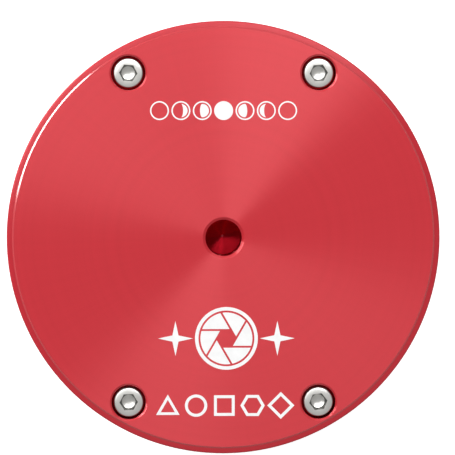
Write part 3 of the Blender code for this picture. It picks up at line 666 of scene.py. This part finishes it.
def rear_screw_mesh():
    """Mesh of a socket-head screw with the underside of its head at height 0."""
    chamfer, knurls, knurl_depth, rows = 0.08, 36, 0.035, 6
    top_of_knurl, knurled = HEAD_HEIGHT - 0.35, HEAD_HEIGHT - 0.5

    def knurl(angle, radius, height):
        on_side = abs(radius - HEAD_R) < TINY and chamfer < height < top_of_knurl
        return -knurl_depth * (0.5 + 0.5 * math.cos(angle * knurls)) if on_side else 0.0

    side = [(HEAD_R, top_of_knurl - row * knurled / rows) for row in range(rows + 1)]
    outline = [(0.0, HEAD_HEIGHT)]
    outline += softened([
        (HEAD_R - 1.2, HEAD_HEIGHT),
        (HEAD_R - 0.6, HEAD_HEIGHT),
        (HEAD_R - 0.1, HEAD_HEIGHT - chamfer, 0.1),
        (HEAD_R, HEAD_HEIGHT - 0.25, 0.1),
        side[0],
    ])
    outline += side[1:]
    outline += [(HEAD_R, chamfer), (HEAD_R - chamfer, 0.0), (SHANK_R, 0.0), (SHANK_R - 0.02, -0.1)]
    thread_depth = SCREW_PITCH * 0.54
    core, tip = SHANK_R - thread_depth, -SCREW_LENGTH
    outline += threaded(core, thread_depth, SCREW_PITCH, -0.3, tip + 0.35, 6)
    outline += [(core - 0.05, tip + 0.2), (core - 0.25, tip), (0.0, tip)]
    body = finished(lathe("rear_screw", outline, SMALL, ripple=knurl), STEEL)

    floor, thirty = HEAD_HEIGHT * 0.5, math.radians(30)
    key = prism("key_socket", KEY_R, floor, HEAD_HEIGHT + 0.02, 6, turn=thirty, flare=KEY_FLARE)
    flat_r = KEY_R * math.cos(thirty)
    cone = lathe("socket_bottom", [
        (0.0, floor + 0.1), (flat_r, floor + 0.1), (flat_r, floor - 0.02), (0.0, floor - flat_r * 0.55),
    ], 32)
    # The hex socket's walls are cut with the dark grey steel as painted shade, and its cone bottom stays
    # bright steel.
    return carved(body, [finished(key, SOCKET_SHADE), finished(cone, STEEL)])


def make_rear_screws():
    """Four socket-head screws that share a mesh."""
    mesh = rear_screw_mesh()
    for i, (place, turn) in enumerate(zip(SCREW_POINTS, SCREW_TURNS), 1):
        made = new_piece(
            f"socket_head_screw_{i}", mesh, STEEL,
            replaces=[f"rear_screw_{i}"],
        )
        made.location = Vector((*place, Z_HEAD)) * MM
        made.rotation_euler.z = math.radians(turn)
        shaded(made)


# ---- printed marks
def printed(name, outlines):
    """A flat printed mark on the cover. Outlines inside others are left open."""
    curve = bpy.data.curves.new(name, "CURVE")
    half = PRINT * 0.75
    curve.dimensions = "2D"
    curve.fill_mode = "BOTH"
    curve.extrude = half * MM
    for outline in outlines:
        spline = curve.splines.new("POLY")
        spline.points.add(len(outline) - 1)
        for point, (x, y) in zip(spline.points, outline):
            point.co = (x * MM, y * MM, 0.0, 1.0)
        spline.use_cyclic_u = True
    mesh = outward(evaluated_mesh(placed(name, curve)), merge=WELD)
    mesh.name = name
    mesh.materials.clear()
    made = new_piece(name, mesh, PAINT)
    made.location.z = (Z_REAR - half) * MM


def arc_points(centre, radius, start, end, count, squash=1.0):
    """Points along an arc, or along half an ellipse where it is squashed sideways."""
    points = []
    for step in range(count + 1):
        angle = math.radians(start + (end - start) * step / count)
        points.append((
            centre[0] + radius * squash * math.cos(angle), centre[1] + radius * math.sin(angle),
        ))
    return points


def circle(centre, radius, count=64):
    """Points round a whole circle."""
    return arc_points(centre, radius, 0, 360 - 360 / count, count - 1)


def polygon(centre, radius, sides, turn=90.0):
    """Corners of a regular polygon, the first of them at the turn's angle in degrees."""
    return arc_points(centre, radius, turn, turn + 360 - 360 / sides, sides - 1)


def frame_of(centre, radius, sides, line, turn=90.0):
    """A polygon drawn as an outline of even width."""
    inner = radius - line / math.cos(math.pi / sides)
    return [polygon(centre, radius, sides, turn), polygon(centre, inner, sides, turn)]


def star(centre, radius, waist, points=4):
    """A pointed star, with its inner corners on a circle of the waist's radius."""
    outline = []
    for step in range(points * 2):
        angle = math.radians(90 + step * 180 / points)
        r = radius if step % 2 == 0 else waist
        outline.append((centre[0] + r * math.cos(angle), centre[1] + r * math.sin(angle)))
    return outline


def make_phase_row():
    """Seven phases of the moon in a row above the hole."""
    count, radius, line = 7, 1.35, 0.2
    middle_y, width = 18.2, 21.0
    for i in range(count):
        x = -width / 2 + radius + i * (width - 2 * radius) / (count - 1)
        lit = i / (count - 1) * 2 - 1
        centre = (x, middle_y)
        rim = [circle(centre, radius), circle(centre, radius - line)]
        if abs(lit) > 0.99:
            outlines = rim
        elif abs(lit) < 0.01:
            outlines = [circle(centre, radius)]
        else:
            side = 1 if lit < 0 else -1
            lit_r = radius - line * 2
            limb = arc_points(centre, lit_r, -90, 90, 32, side)
            bulge = side * (2 * abs(lit) - 1)
            shadow = arc_points(centre, lit_r, 90, -90, 32, bulge)[1:-1]
            outlines = [*rim, limb + shadow]
        printed(f"moon_phase_{i + 1}", outlines)


def iris_blade(centre, open_r, rim_r, gap, start):
    """One blade of a six-bladed iris: from the opening's side out to the rim, and a gap short of
    the blade behind it."""
    corner, next_corner = [Vector(p) for p in ring_points(open_r, (start, start + 60))]
    ahead = (next_corner - corner).normalized()
    behind = Matrix.Rotation(math.radians(-60), 2) @ ahead
    corner = corner + ahead * gap / math.sin(math.radians(60))
    rim_angles = []
    for point, way in ((next_corner, ahead), (corner, behind)):
        b = point.dot(way)
        on_rim = point + way * (-b + math.sqrt(b * b - point.length_squared + rim_r * rim_r))
        rim_angles.append(math.degrees(math.atan2(on_rim.y, on_rim.x)))
    first, last = rim_angles
    rim = arc_points(centre, rim_r, first, first - (first - last) % 360, 16)
    inner = [(centre[0] + p.x, centre[1] + p.y) for p in (corner, next_corner)]
    return inner + rim


def make_iris_mark():
    """A six-bladed iris between two four-pointed stars, below the hole."""
    centre, outer, rim, gap, opening = (0.4, -14.4), 4.5, 0.5, 0.28, 1.55
    star_offset, star_r, star_waist = 7.3, 2.5, 0.62
    printed("iris_mark_rim", [circle(centre, outer, 96), circle(centre, outer - rim, 96)])
    for i in range(6):
        blade = iris_blade(centre, opening, outer - rim - gap, gap, i * 60)
        printed(f"iris_mark_blade_{i + 1}", [blade])
    for i, side in enumerate((-1, 1), 1):
        middle = (centre[0] + side * star_offset, centre[1])
        printed(f"star_mark_{i}", [star(middle, star_r, star_waist)])


def make_symbol_row():
    """Five plain outlines in a row at the bottom of the cover."""
    y, line, step = -24.05, 0.42, 4.05
    x = [0.1 + (i - 2) * step for i in range(5)]
    printed("outline_triangle", frame_of((x[0], y - 0.35), 1.95, 3, line * 0.9))
    printed("outline_ring", [circle((x[1], y), 1.6), circle((x[1], y), 1.6 - line)])
    printed("outline_square", frame_of((x[2], y), 2.1, 4, line, 45.0))
    printed("outline_hexagon", frame_of((x[3], y), 1.75, 6, line, 0.0))
    printed("outline_diamond", frame_of((x[4], y), 1.95, 4, line))


# ---- housing
def cavity_mesh(floor, rim, socket_wall_x):
    """The hollow of the housing: round, with a flat behind the sockets and bosses for the screws."""
    cavity_r, boss_r, flat_half = 29.0, 3.2, 20.0
    boss_foot, above = Z_PLATE_TOP + 0.2, rim + OVERCUT
    flat = slab("socket_wall", (socket_wall_x, OUTSIDE_X), 0.0, flat_half, (boss_foot, above))
    bosses = [prism("boss", boss_r, boss_foot, above, SMALL, point) for point in SCREW_POINTS]
    return carved(prism("cavity", cavity_r, floor, rim, FINE), [flat, *bosses])


def make_housing():
    """A turned cup with a mouth for the flange, a milled flat with two windows and tapped holes."""
    front_wall, front_edge, mouth_edge, socket_wall_x = 2.5, 0.6, 0.2, 25.2
    floor = Z_SHOULDER + front_wall
    rim = HOUSING_HIGH.z + OVERCUT
    body = softened([
        (0.0, HOUSING_HIGH.z), (BODY_R - HAIRLINE, HOUSING_HIGH.z),
        (BODY_R, HOUSING_HIGH.z - HAIRLINE, 0.05), (BODY_R, Z_SHOULDER + front_edge, 0.15),
        (BODY_R - front_edge, Z_SHOULDER, 0.15), (0.0, Z_SHOULDER),
    ])
    mouth = softened([
        (0.0, floor + OVERCUT), (FLANGE_MOUTH_R, floor + OVERCUT),
        (FLANGE_MOUTH_R, Z_SHOULDER + mouth_edge, 0.05),
        (FLANGE_MOUTH_R + mouth_edge + OVERCUT, Z_SHOULDER - OVERCUT), (0.0, Z_SHOULDER - OVERCUT),
    ])
    cuts = [
        cavity_mesh(floor, rim, socket_wall_x), lathe("mouth", mouth),
        slab("pocket", (POCKET_X, OUTSIDE_X), 0.0, POCKET_HALF, POCKET_Z, 0.5, 3),
    ]
    around = Vector((0.0, 0.25, 0.25))
    for low, high in ((USB_LOW, USB_HIGH), (GUIDE_LOW, GUIDE_HIGH)):
        start = Vector((socket_wall_x - OVERCUT, low.y, low.z)) - around
        cuts.append(box_mesh("window", start, Vector((OUTSIDE_X, high.y, high.z)) + around, 0.3, 3))
    for point in SCREW_POINTS:
        cuts.append(prism("tapped", TAPPED_R, HOUSING_HIGH.z - TAPPED_DEPTH, rim, 24, point))
    for point in FLANGE_SCREW_POINTS:
        bottom = Z_SHOULDER + front_edge
        cuts.append(prism("front_tapped", FLANGE_HOLE_R, bottom, floor + OVERCUT, 16, point))
    made = new_piece("housing_turned", carved(lathe("housing", body), cuts), RED, replaces=["housing"])
    shaded(made)


# ---- lens side
def m42_female(low, high):
    """The wall of the female M42 thread, from its lead-in to the relief above it."""
    return threaded(M42_CORE_R, M42_THREAD, M42_PITCH, low + M42_LEAD_IN, high)


def make_front_flange():
    """The black nose with its M42 well, the window's seat and the plate that holds the boards."""
    neck_r, plate_r, aperture_r, seat_r = RING_HIGH.x, FLANGE_HIGH.x, 9.3, 10.7
    well_depth, shelf_thickness, plate_height, relief = 6.6, 0.5, 2.6, 1.0
    well = Z_FLANGE + well_depth
    shelf = Z_PLATE_TOP - shelf_thickness
    plate_z = Z_SHOULDER + plate_height
    outline = softened([
        (aperture_r, Z_PLATE_TOP), (plate_r, Z_PLATE_TOP, 0.15), (plate_r, plate_z, 0.15),
        (neck_r, plate_z), (neck_r, Z_FLANGE, 0.3), (M42_R + M42_LEAD_IN, Z_FLANGE),
    ])
    outline += m42_female(Z_FLANGE, well - relief)
    outline += [(M42_CORE_R, well), (seat_r, well), (seat_r, shelf), (aperture_r, shelf)]
    above = Z_PLATE_TOP + OVERCUT
    holes = [(point, FLANGE_HOLE_R, plate_z - OVERCUT) for point in FLANGE_SCREW_POINTS]
    for kind, (radius, depth) in (("sensor_board_screw", SPACER_HOLE), ("board_standoff", STANDOFF_HOLE)):
        holes += [(point, radius, Z_PLATE_TOP - depth) for point in middles(kind)]
    cuts = [prism("hole", radius, bottom, above, 16, point) for point, radius, bottom in holes]
    mesh = carved(lathe("front_flange", outline, closed=True), cuts)
    shaded(new_piece("front_flange_turned", mesh, BLACK, replaces=["front_flange"]))


def make_t2_ring():
    """The extension ring, with a knurled band round its outside and real M42 threads."""
    ring_r, bore_r, base, top = RING_HIGH.x, 19.0, RING_LOW.z, RING_HIGH.z
    length, web_thickness, relief = 5.0, 0.9, 0.4
    seat = base + length
    web = seat - web_thickness
    male_core = M42_CORE_R - M42_THREAD
    chamfer, margin, edge = 0.3, 0.8, 0.05
    teeth, knurl_depth = 120, 0.22
    low_edge, high_edge = base + margin, seat - margin

    def knurl(angle, radius, height):
        if abs(radius - ring_r) > TINY or not low_edge < height < high_edge:
            return 0.0
        return -knurl_depth * (0.5 - 0.5 * math.cos(angle * teeth))

    outer = [
        (ring_r - chamfer, seat), (ring_r, seat - chamfer),
        (ring_r, high_edge + edge), (ring_r, high_edge - edge),
        (ring_r, low_edge + edge), (ring_r, low_edge - edge),
        (ring_r, base + chamfer), (ring_r - chamfer, base), (M42_R + M42_LEAD_IN, base),
    ]
    inner = [
        (M42_CORE_R, web), (bore_r, web), (bore_r, top - 0.2), (bore_r + 0.2, top),
        (male_core - 0.03, top),
    ]
    male = threaded(male_core, M42_THREAD, M42_PITCH, top - chamfer, seat + M42_LEAD_IN)
    outline = outer + m42_female(base, web - relief) + inner + male + [(male_core, seat)]
    mesh = lathe("t2_ring", outline, KNURLED, closed=True, ripple=knurl)
    made = new_piece("t2_ring_knurled", mesh, BLACK, "extension_ring", replaces=["t2_ring"])
    shaded(made)


def make_dust_cap():
    """A moulded push-on cap with grip ribs round its skirt and a stepped outer face."""
    wall, inside_r, foot_r, recess, disc_r = 1.8, RING_HIGH.x + 0.15, 22.5, 0.3, 9.0
    cap_r, top, low_edge, high_edge = CAP_HIGH.x, CAP_HIGH.z, 0.9, CAP_HIGH.z - 0.75
    ribs, rib_depth, edge = 72, 0.32, 0.05

    def grip(angle, radius, height):
        if abs(radius - cap_r) > TINY or not low_edge + edge < height < high_edge:
            return 0.0
        crest = math.cos(angle * ribs)
        return -rib_depth * min(1.0, max(0.0, 0.5 - crest * 1.1))

    inside = softened([
        (0.0, wall), (inside_r, wall, 0.2), (inside_r, top - 0.4), (inside_r + 0.3, top),
        (cap_r, top, 0.3), (cap_r, high_edge + edge),
    ])
    side = [(cap_r, high_edge - edge), (cap_r, low_edge + 2 * edge), (cap_r, low_edge)]
    outside = softened([
        (cap_r, low_edge - 2 * edge), (cap_r, 0.0, 0.5), (foot_r, 0.0, 0.1),
        (foot_r - 0.4, recess, 0.1), (disc_r, recess, 0.1), (disc_r - 0.3, recess / 2, 0.1),
        (0.0, recess / 2),
    ])
    mesh = lathe("dust_cap", inside + side + outside, RIBBED, ripple=grip)
    made = new_piece("dust_cap_moulded", mesh, CAP_PLASTIC, "cap", replaces=["dust_cap"])
    shaded(made)


def make_window_glass():
    """The clear disc over the sensor, with chamfered edges."""
    low, high = span("window_glass")
    edge = 0.15
    glass = softened([
        (0.0, high.z), (high.x - edge, high.z), (high.x, high.z - edge), (high.x, low.z + edge),
        (high.x - edge, low.z), (0.0, low.z),
    ])
    mesh = lathe("window_glass", glass, 128)
    shaded(new_piece("window_polished", mesh, WINDOW, replaces=["window_glass"]))


def make_window_retainer():
    """The ring that holds the window in, with a slot across it for a spanner."""
    low, high = span("window_retainer")
    inner, bevel, slot_half, reach = 9.5, 0.4, 0.5, 12.0
    ring = softened([
        (inner, high.z), (high.x, high.z, 0.08), (high.x, low.z, 0.08), (inner + bevel, low.z, 0.05),
        (inner, low.z + 0.3),
    ])
    slot = slab("slot", (-reach, reach), 0.0, slot_half, (low.z - OVERCUT, low.z + bevel), 0.08)
    mesh = carved(lathe("window_retainer", ring, closed=True), [slot])
    shaded(new_piece("window_retainer_ring", mesh, BLACK, replaces=["window_retainer"]))


def make_window_oring():
    """The seal between the window and its seat."""
    low, high = span("window_oring")
    section, sides = (high.z - low.z) / 2, 16
    centre = (high.x - section, (low.z + high.z) / 2)
    seal = arc_points(centre, section, 90, 90 - 360 * (sides - 1) / sides, sides - 1)
    mesh = lathe("window_oring", seal, 128, closed=True)
    shaded(new_piece("window_oring_moulded", mesh, RUBBER, replaces=["window_oring"]), 60)


# ---- sockets
USB_MIDDLE = (USB_LOW.y + USB_HIGH.y) / 2
USB_BACK = USB_HIGH.x - MOUTH_DEPTH
USB_WALL = 0.4
USB_MOUTH = (USB_LOW.z + 1.2, USB_LOW.z + 9.2)  # levels of its floor and roof
USB_MOUTH_HALF = 4.45
USB_UPPER_ROOF = USB_MOUTH[1] + 2.4
USB_TONGUE = (USB_MOUTH[0] + 2.5, USB_MOUTH[0] + 5.7)  # levels of its two faces


def make_usb_shell():
    """A drawn steel shell with slots for its sprung fingers."""
    face_x, top, wall = USB_HIGH.x, USB_HIGH.z, Vector((0.0, USB_WALL, USB_WALL))
    shell = box_mesh("usb_shell", USB_LOW, USB_HIGH, 0.5, 4)
    hollow_low = USB_LOW + Vector((USB_WALL, 0.0, 0.0)) + wall
    cuts = [box_mesh("hollow", hollow_low, USB_HIGH + Vector((3 * OVERCUT, 0.0, 0.0)) - wall, 0.2)]
    for side in (-1, 1):
        slot_x, slot_z = (face_x - 7.0, face_x - 2.0), (top - OVERCUT, top + OVERCUT)
        cuts.append(slab("finger_slot", slot_x, USB_MIDDLE + side * 3.0, 0.8, slot_z))
    shaded(new_piece("usb_shell_drawn", carved(shell, cuts), SHELL_STEEL, replaces=["usb_shell"]))


def make_usb_insert():
    """The blue insert, with a mouth of USB 3 type B and the tongue that carries the contacts."""
    fit, corner_r, corner_out, upper_half, tongue_half = 0.1, 2.2, 0.35, 3.1, 2.8
    inset = Vector((1.0, 1.0, 1.0)) * (USB_WALL + fit)
    insert_high = Vector((USB_HIGH.x - 0.3, USB_HIGH.y - inset.y, USB_HIGH.z - inset.z))
    insert = box_mesh("usb_insert", USB_LOW + inset, insert_high, 0.2)
    x = (USB_BACK, USB_HIGH.x + 2 * OVERCUT)
    mouth = slab("mouth", x, USB_MIDDLE, USB_MOUTH_HALF, USB_MOUTH, 0.15)
    for side in (-1, 1):
        corner = prism("mouth_corner", corner_r, x[0] - OVERCUT, x[1] + 2 * OVERCUT, 4)
        corner.transform(Matrix.Rotation(math.radians(90), 4, "Y"))
        moved(corner, 0.0, USB_MIDDLE + side * (USB_MOUTH_HALF + corner_out), USB_MOUTH[1] + corner_out)
        mouth = carved(mouth, [corner])
    upper_z, tongue_x = (USB_MOUTH[1] - 0.5, USB_UPPER_ROOF), (USB_BACK - OVERCUT, USB_HIGH.x - 2.0)
    upper = slab("upper_mouth", x, USB_MIDDLE, upper_half, upper_z, 0.3)
    tongue = slab("tongue", tongue_x, USB_MIDDLE, tongue_half, USB_TONGUE, 0.25)
    insert = carved(carved(insert, [mouth, upper]), [tongue], "UNION")
    shaded(new_piece("usb_insert_moulded", insert, USB_PLASTIC, replaces=["usb_insert"]))


def make_usb_contacts():
    """Four wide contacts on the tongue's two faces, and five narrow ones under the upper roof."""
    start, sunk, proud, edge = USB_BACK + 0.5, 0.05, 0.12, 0.05
    wide, wide_half, wide_offset = (start, USB_HIGH.x - 3.0), 0.55, 1.25
    narrow, narrow_half, pitch = (start, USB_HIGH.x - 2.2), 0.3, 1.15
    strips = []
    for level, way in zip(USB_TONGUE, (-1, 1)):
        z = sorted((level - way * sunk, level + way * proud))
        for y in (USB_MIDDLE - wide_offset, USB_MIDDLE + wide_offset):
            strips.append(slab("strip", wide, y, wide_half, z, edge, 1))
    under_roof = (USB_UPPER_ROOF - 0.5, USB_UPPER_ROOF + 0.03)
    for i in range(5):
        y = USB_MIDDLE + (i - 2) * pitch
        strips.append(slab("strip", narrow, y, narrow_half, under_roof, edge, 1))
    made = new_piece("usb_contacts", joined("usb_contacts", strips), GOLD)
    shaded(made)


def make_guide_socket():
    """The six-way modular jack: latch channel at the bottom, bent spring wires at the top."""
    y = (GUIDE_LOW.y + GUIDE_HIGH.y) / 2
    back, face_x = GUIDE_HIGH.x - MOUTH_DEPTH, GUIDE_HIGH.x
    roof, mouth_height, lead_in_half = 1.4, 7.0, 5.25
    top = GUIDE_HIGH.z - roof
    bottom = top - mouth_height
    beyond = face_x + 2 * OVERCUT
    steps = (  # half width and levels of the mouth, the latch's channel and its bottom
        (5.0, (bottom, top)), (3.1, (bottom - 1.3, bottom + 0.5)), (1.8, (bottom - 2.4, bottom + 0.5)),
    )
    cuts = [slab("mouth", (back, beyond), y, half, z, 0.12) for half, z in steps]
    lead_in_z = (bottom - 0.2, top + 0.25)
    cuts.append(slab("lead_in", (face_x - 0.5, beyond), y, lead_in_half, lead_in_z, 0.15))
    mesh = carved(box_mesh("guide_port_housing", GUIDE_LOW, GUIDE_HIGH, 0.25, 3), cuts)
    shaded(new_piece("guide_port_moulded", mesh, JACK_PLASTIC, replaces=["guide_port_housing"]))

    count, pitch = 6, 1.27
    bends = (  # how far from the back of the mouth, and how far below its top
        (0.3, 0.45), (2.0, 0.45), (8.6, 0.75), (9.6, 1.25), (9.0, 1.75), (3.4, 3.4),
    )
    wires = []
    for i in range(count):
        wire_y = y + (i - (count - 1) / 2) * pitch
        wires.append(bent_wire([(back + along, wire_y, top - drop) for along, drop in bends]))
    made = new_piece(
        "guide_port_wires", joined("guide_port_wires", wires), GOLD, replaces=["guide_port_contacts"],
    )
    shaded(made, 60)


def bent_wire(points, radius=0.2):
    """Mesh of a round wire along points, its bends rounded and its ends closed."""
    curve = bpy.data.curves.new("wire", "CURVE")
    curve.dimensions = "3D"
    curve.bevel_depth = radius * MM
    curve.bevel_resolution = 2
    curve.use_fill_caps = True
    curve.resolution_u = 5
    spline = curve.splines.new("BEZIER")
    spline.bezier_points.add(len(points) - 1)
    for bezier, point in zip(spline.bezier_points, points):
        bezier.co = Vector(point) * MM
        bezier.handle_left_type = bezier.handle_right_type = "AUTO"
    return outward(evaluated_mesh(placed("wire", curve)), merge=WELD)


# ---- CAD nodes that stay
KEPT_FINISHES = {
    "stainless_steel": STEEL, "brass": BRASS, "circuit_board": BOARD, "chip_package": CHIP,
    "nickel_can": CAN, "thermal_pad": PAD, "seal_rubber": RUBBER, "jack_plastic": JACK_PLASTIC,
    "coated_glass": WINDOW, "sensor_die": DIE,
}


def finish_kept_nodes():
    """The pieces inside keep their CAD shape and take the same finishes."""
    slots = {s["node"]: s["material_slot"] for s in frame["record"]["subparts"]}
    for name, made in frame["nodes"].items():
        finish = KEPT_FINISHES.get(slots[name])
        if finish and not made.hide_render:
            for material_slot in made.material_slots:
                material_slot.material = finish


# ---- floor, light and camera, in metres
FLOOR_R = 30.0
FLOOR_GAP = 0.0002
DOME_R = 29.0
LIGHT_DISTANCE = 0.5
CAMERA_DISTANCE = 0.5
VIEW_WIDTH = 0.06505  # of what the picture shows at the rear cover


def make_floor():
    """A pale floor under the cap. From below it is clear, so that poses can be seen from there."""
    mesh = shape_mesh("floor", bmesh.ops.create_circle, cap_ends=True, segments=96, radius=FLOOR_R)
    floor = placed("floor", mesh)
    floor.location.z = cad_low.z - FLOOR_GAP
    made, shader = principled("pale_floor", {
        "Base Color": (0.8, 0.8, 0.8, 1.0), "Roughness": 0.9,
        "Emission Color": (1.0, 1.0, 1.0, 1.0), "Emission Strength": 0.75,
    })
    floor.visible_glossy = False
    below = node(made, "NewGeometry", output="Backfacing")
    clear = node(made, "BsdfTransparent", {"Color": (1.0, 1.0, 1.0, 1.0)})
    seen = node(made, "MixShader", {0: below, 1: shader.outputs[0], 2: clear})
    made.node_tree.links.new(seen, made.node_tree.nodes["Material Output"].inputs[0])
    mesh.materials.append(made)


def make_backdrop():
    """A white dome a long way off that only the camera sees."""
    sphere = {"u_segments": 48, "v_segments": 24, "radius": DOME_R}
    mesh = shape_mesh("backdrop", bmesh.ops.create_uvsphere, **sphere)
    dome = placed("backdrop", mesh)
    made, _ = principled("white_backdrop", {
        "Base Color": (0.0, 0.0, 0.0, 1.0), "Specular IOR Level": 0.0,
        "Emission Color": (1.0, 1.0, 1.0, 1.0), "Emission Strength": 1.0,
    })
    mesh.materials.append(made)
    dome.visible_diffuse = False
    dome.visible_glossy = False
    dome.visible_transmission = False
    dome.visible_shadow = False


def softbox(name, azimuth, elevation, size, power):
    """A rectangular light that faces the middle of the rear cover."""
    data = bpy.data.lights.new(name, "AREA")
    data.shape = "RECTANGLE"
    data.size, data.size_y = size
    data.energy = power
    made = placed(name, data)
    a, e = math.radians(azimuth), math.radians(elevation)
    way = Vector((math.cos(a) * math.cos(e), math.sin(a) * math.cos(e), math.sin(e)))
    made.location = Vector((0.0, 0.0, Z_REAR * MM)) + way * LIGHT_DISTANCE
    made.rotation_mode = "QUATERNION"
    made.rotation_quaternion = way.to_track_quat("Z", "Y")


def make_lights():
    """A white world that brightens upwards, two soft lights for the face's bright sectors, and a
    low one for the glint on the rim."""
    world = bpy.data.worlds.new("studio")
    world.use_nodes = True
    sky = world.node_tree.nodes["Background"]
    sky.inputs["Color"].default_value = (1.0, 1.0, 1.0, 1.0)
    up = node(world, "SeparateXYZ", {0: node(world, "TexCoord", output="Generated")}, output=2)
    link(world, remap(world, up, 0.25, 0.5, from_low=-0.3, from_high=1.0), sky, "Strength")
    bpy.context.scene.world = world
    softbox("key_light", azimuth=65, elevation=52, size=(0.22, 0.30), power=1.0)
    softbox("fill_light", azimuth=129, elevation=52, size=(0.52, 0.28), power=1.6)
    softbox("edge_light", azimuth=150, elevation=3, size=(0.36, 0.10), power=1.5)


def make_camera():
    """A camera almost straight above the rear cover, leaning a little towards its upper left."""
    lean, towards = math.radians(3.3), math.radians(120)
    way = Vector((
        math.sin(lean) * math.cos(towards), math.sin(lean) * math.sin(towards), math.cos(lean),
    ))
    data = bpy.data.cameras.new("camera")
    made = placed("camera", data)
    x_axis = Vector((0.0, 1.0, 0.0)).cross(way).normalized()
    y_axis = way.cross(x_axis)
    place = Vector((0.0, 0.0, Z_REAR * MM)) + way * CAMERA_DISTANCE
    turn = Matrix((x_axis, y_axis, way)).transposed().to_4x4()
    made.matrix_world = Matrix.Translation(place) @ turn
    data.sensor_width = 36.0
    data.lens = data.sensor_width * CAMERA_DISTANCE / VIEW_WIDTH
    data.shift_x = 0.0085
    data.shift_y = 0.023
    data.clip_start = 0.1
    data.clip_end = 100.0
    bpy.context.scene.camera = made
    bpy.context.scene.view_settings.view_transform = "Standard"


make_rear_cover()
make_rear_screws()
make_phase_row()
make_iris_mark()
make_symbol_row()
make_housing()
make_front_flange()
make_t2_ring()
make_dust_cap()
make_window_glass()
make_window_retainer()
make_window_oring()
make_usb_shell()
make_usb_insert()
make_usb_contacts()
make_guide_socket()
finish_kept_nodes()
make_floor()
make_backdrop()
make_lights()
make_camera()
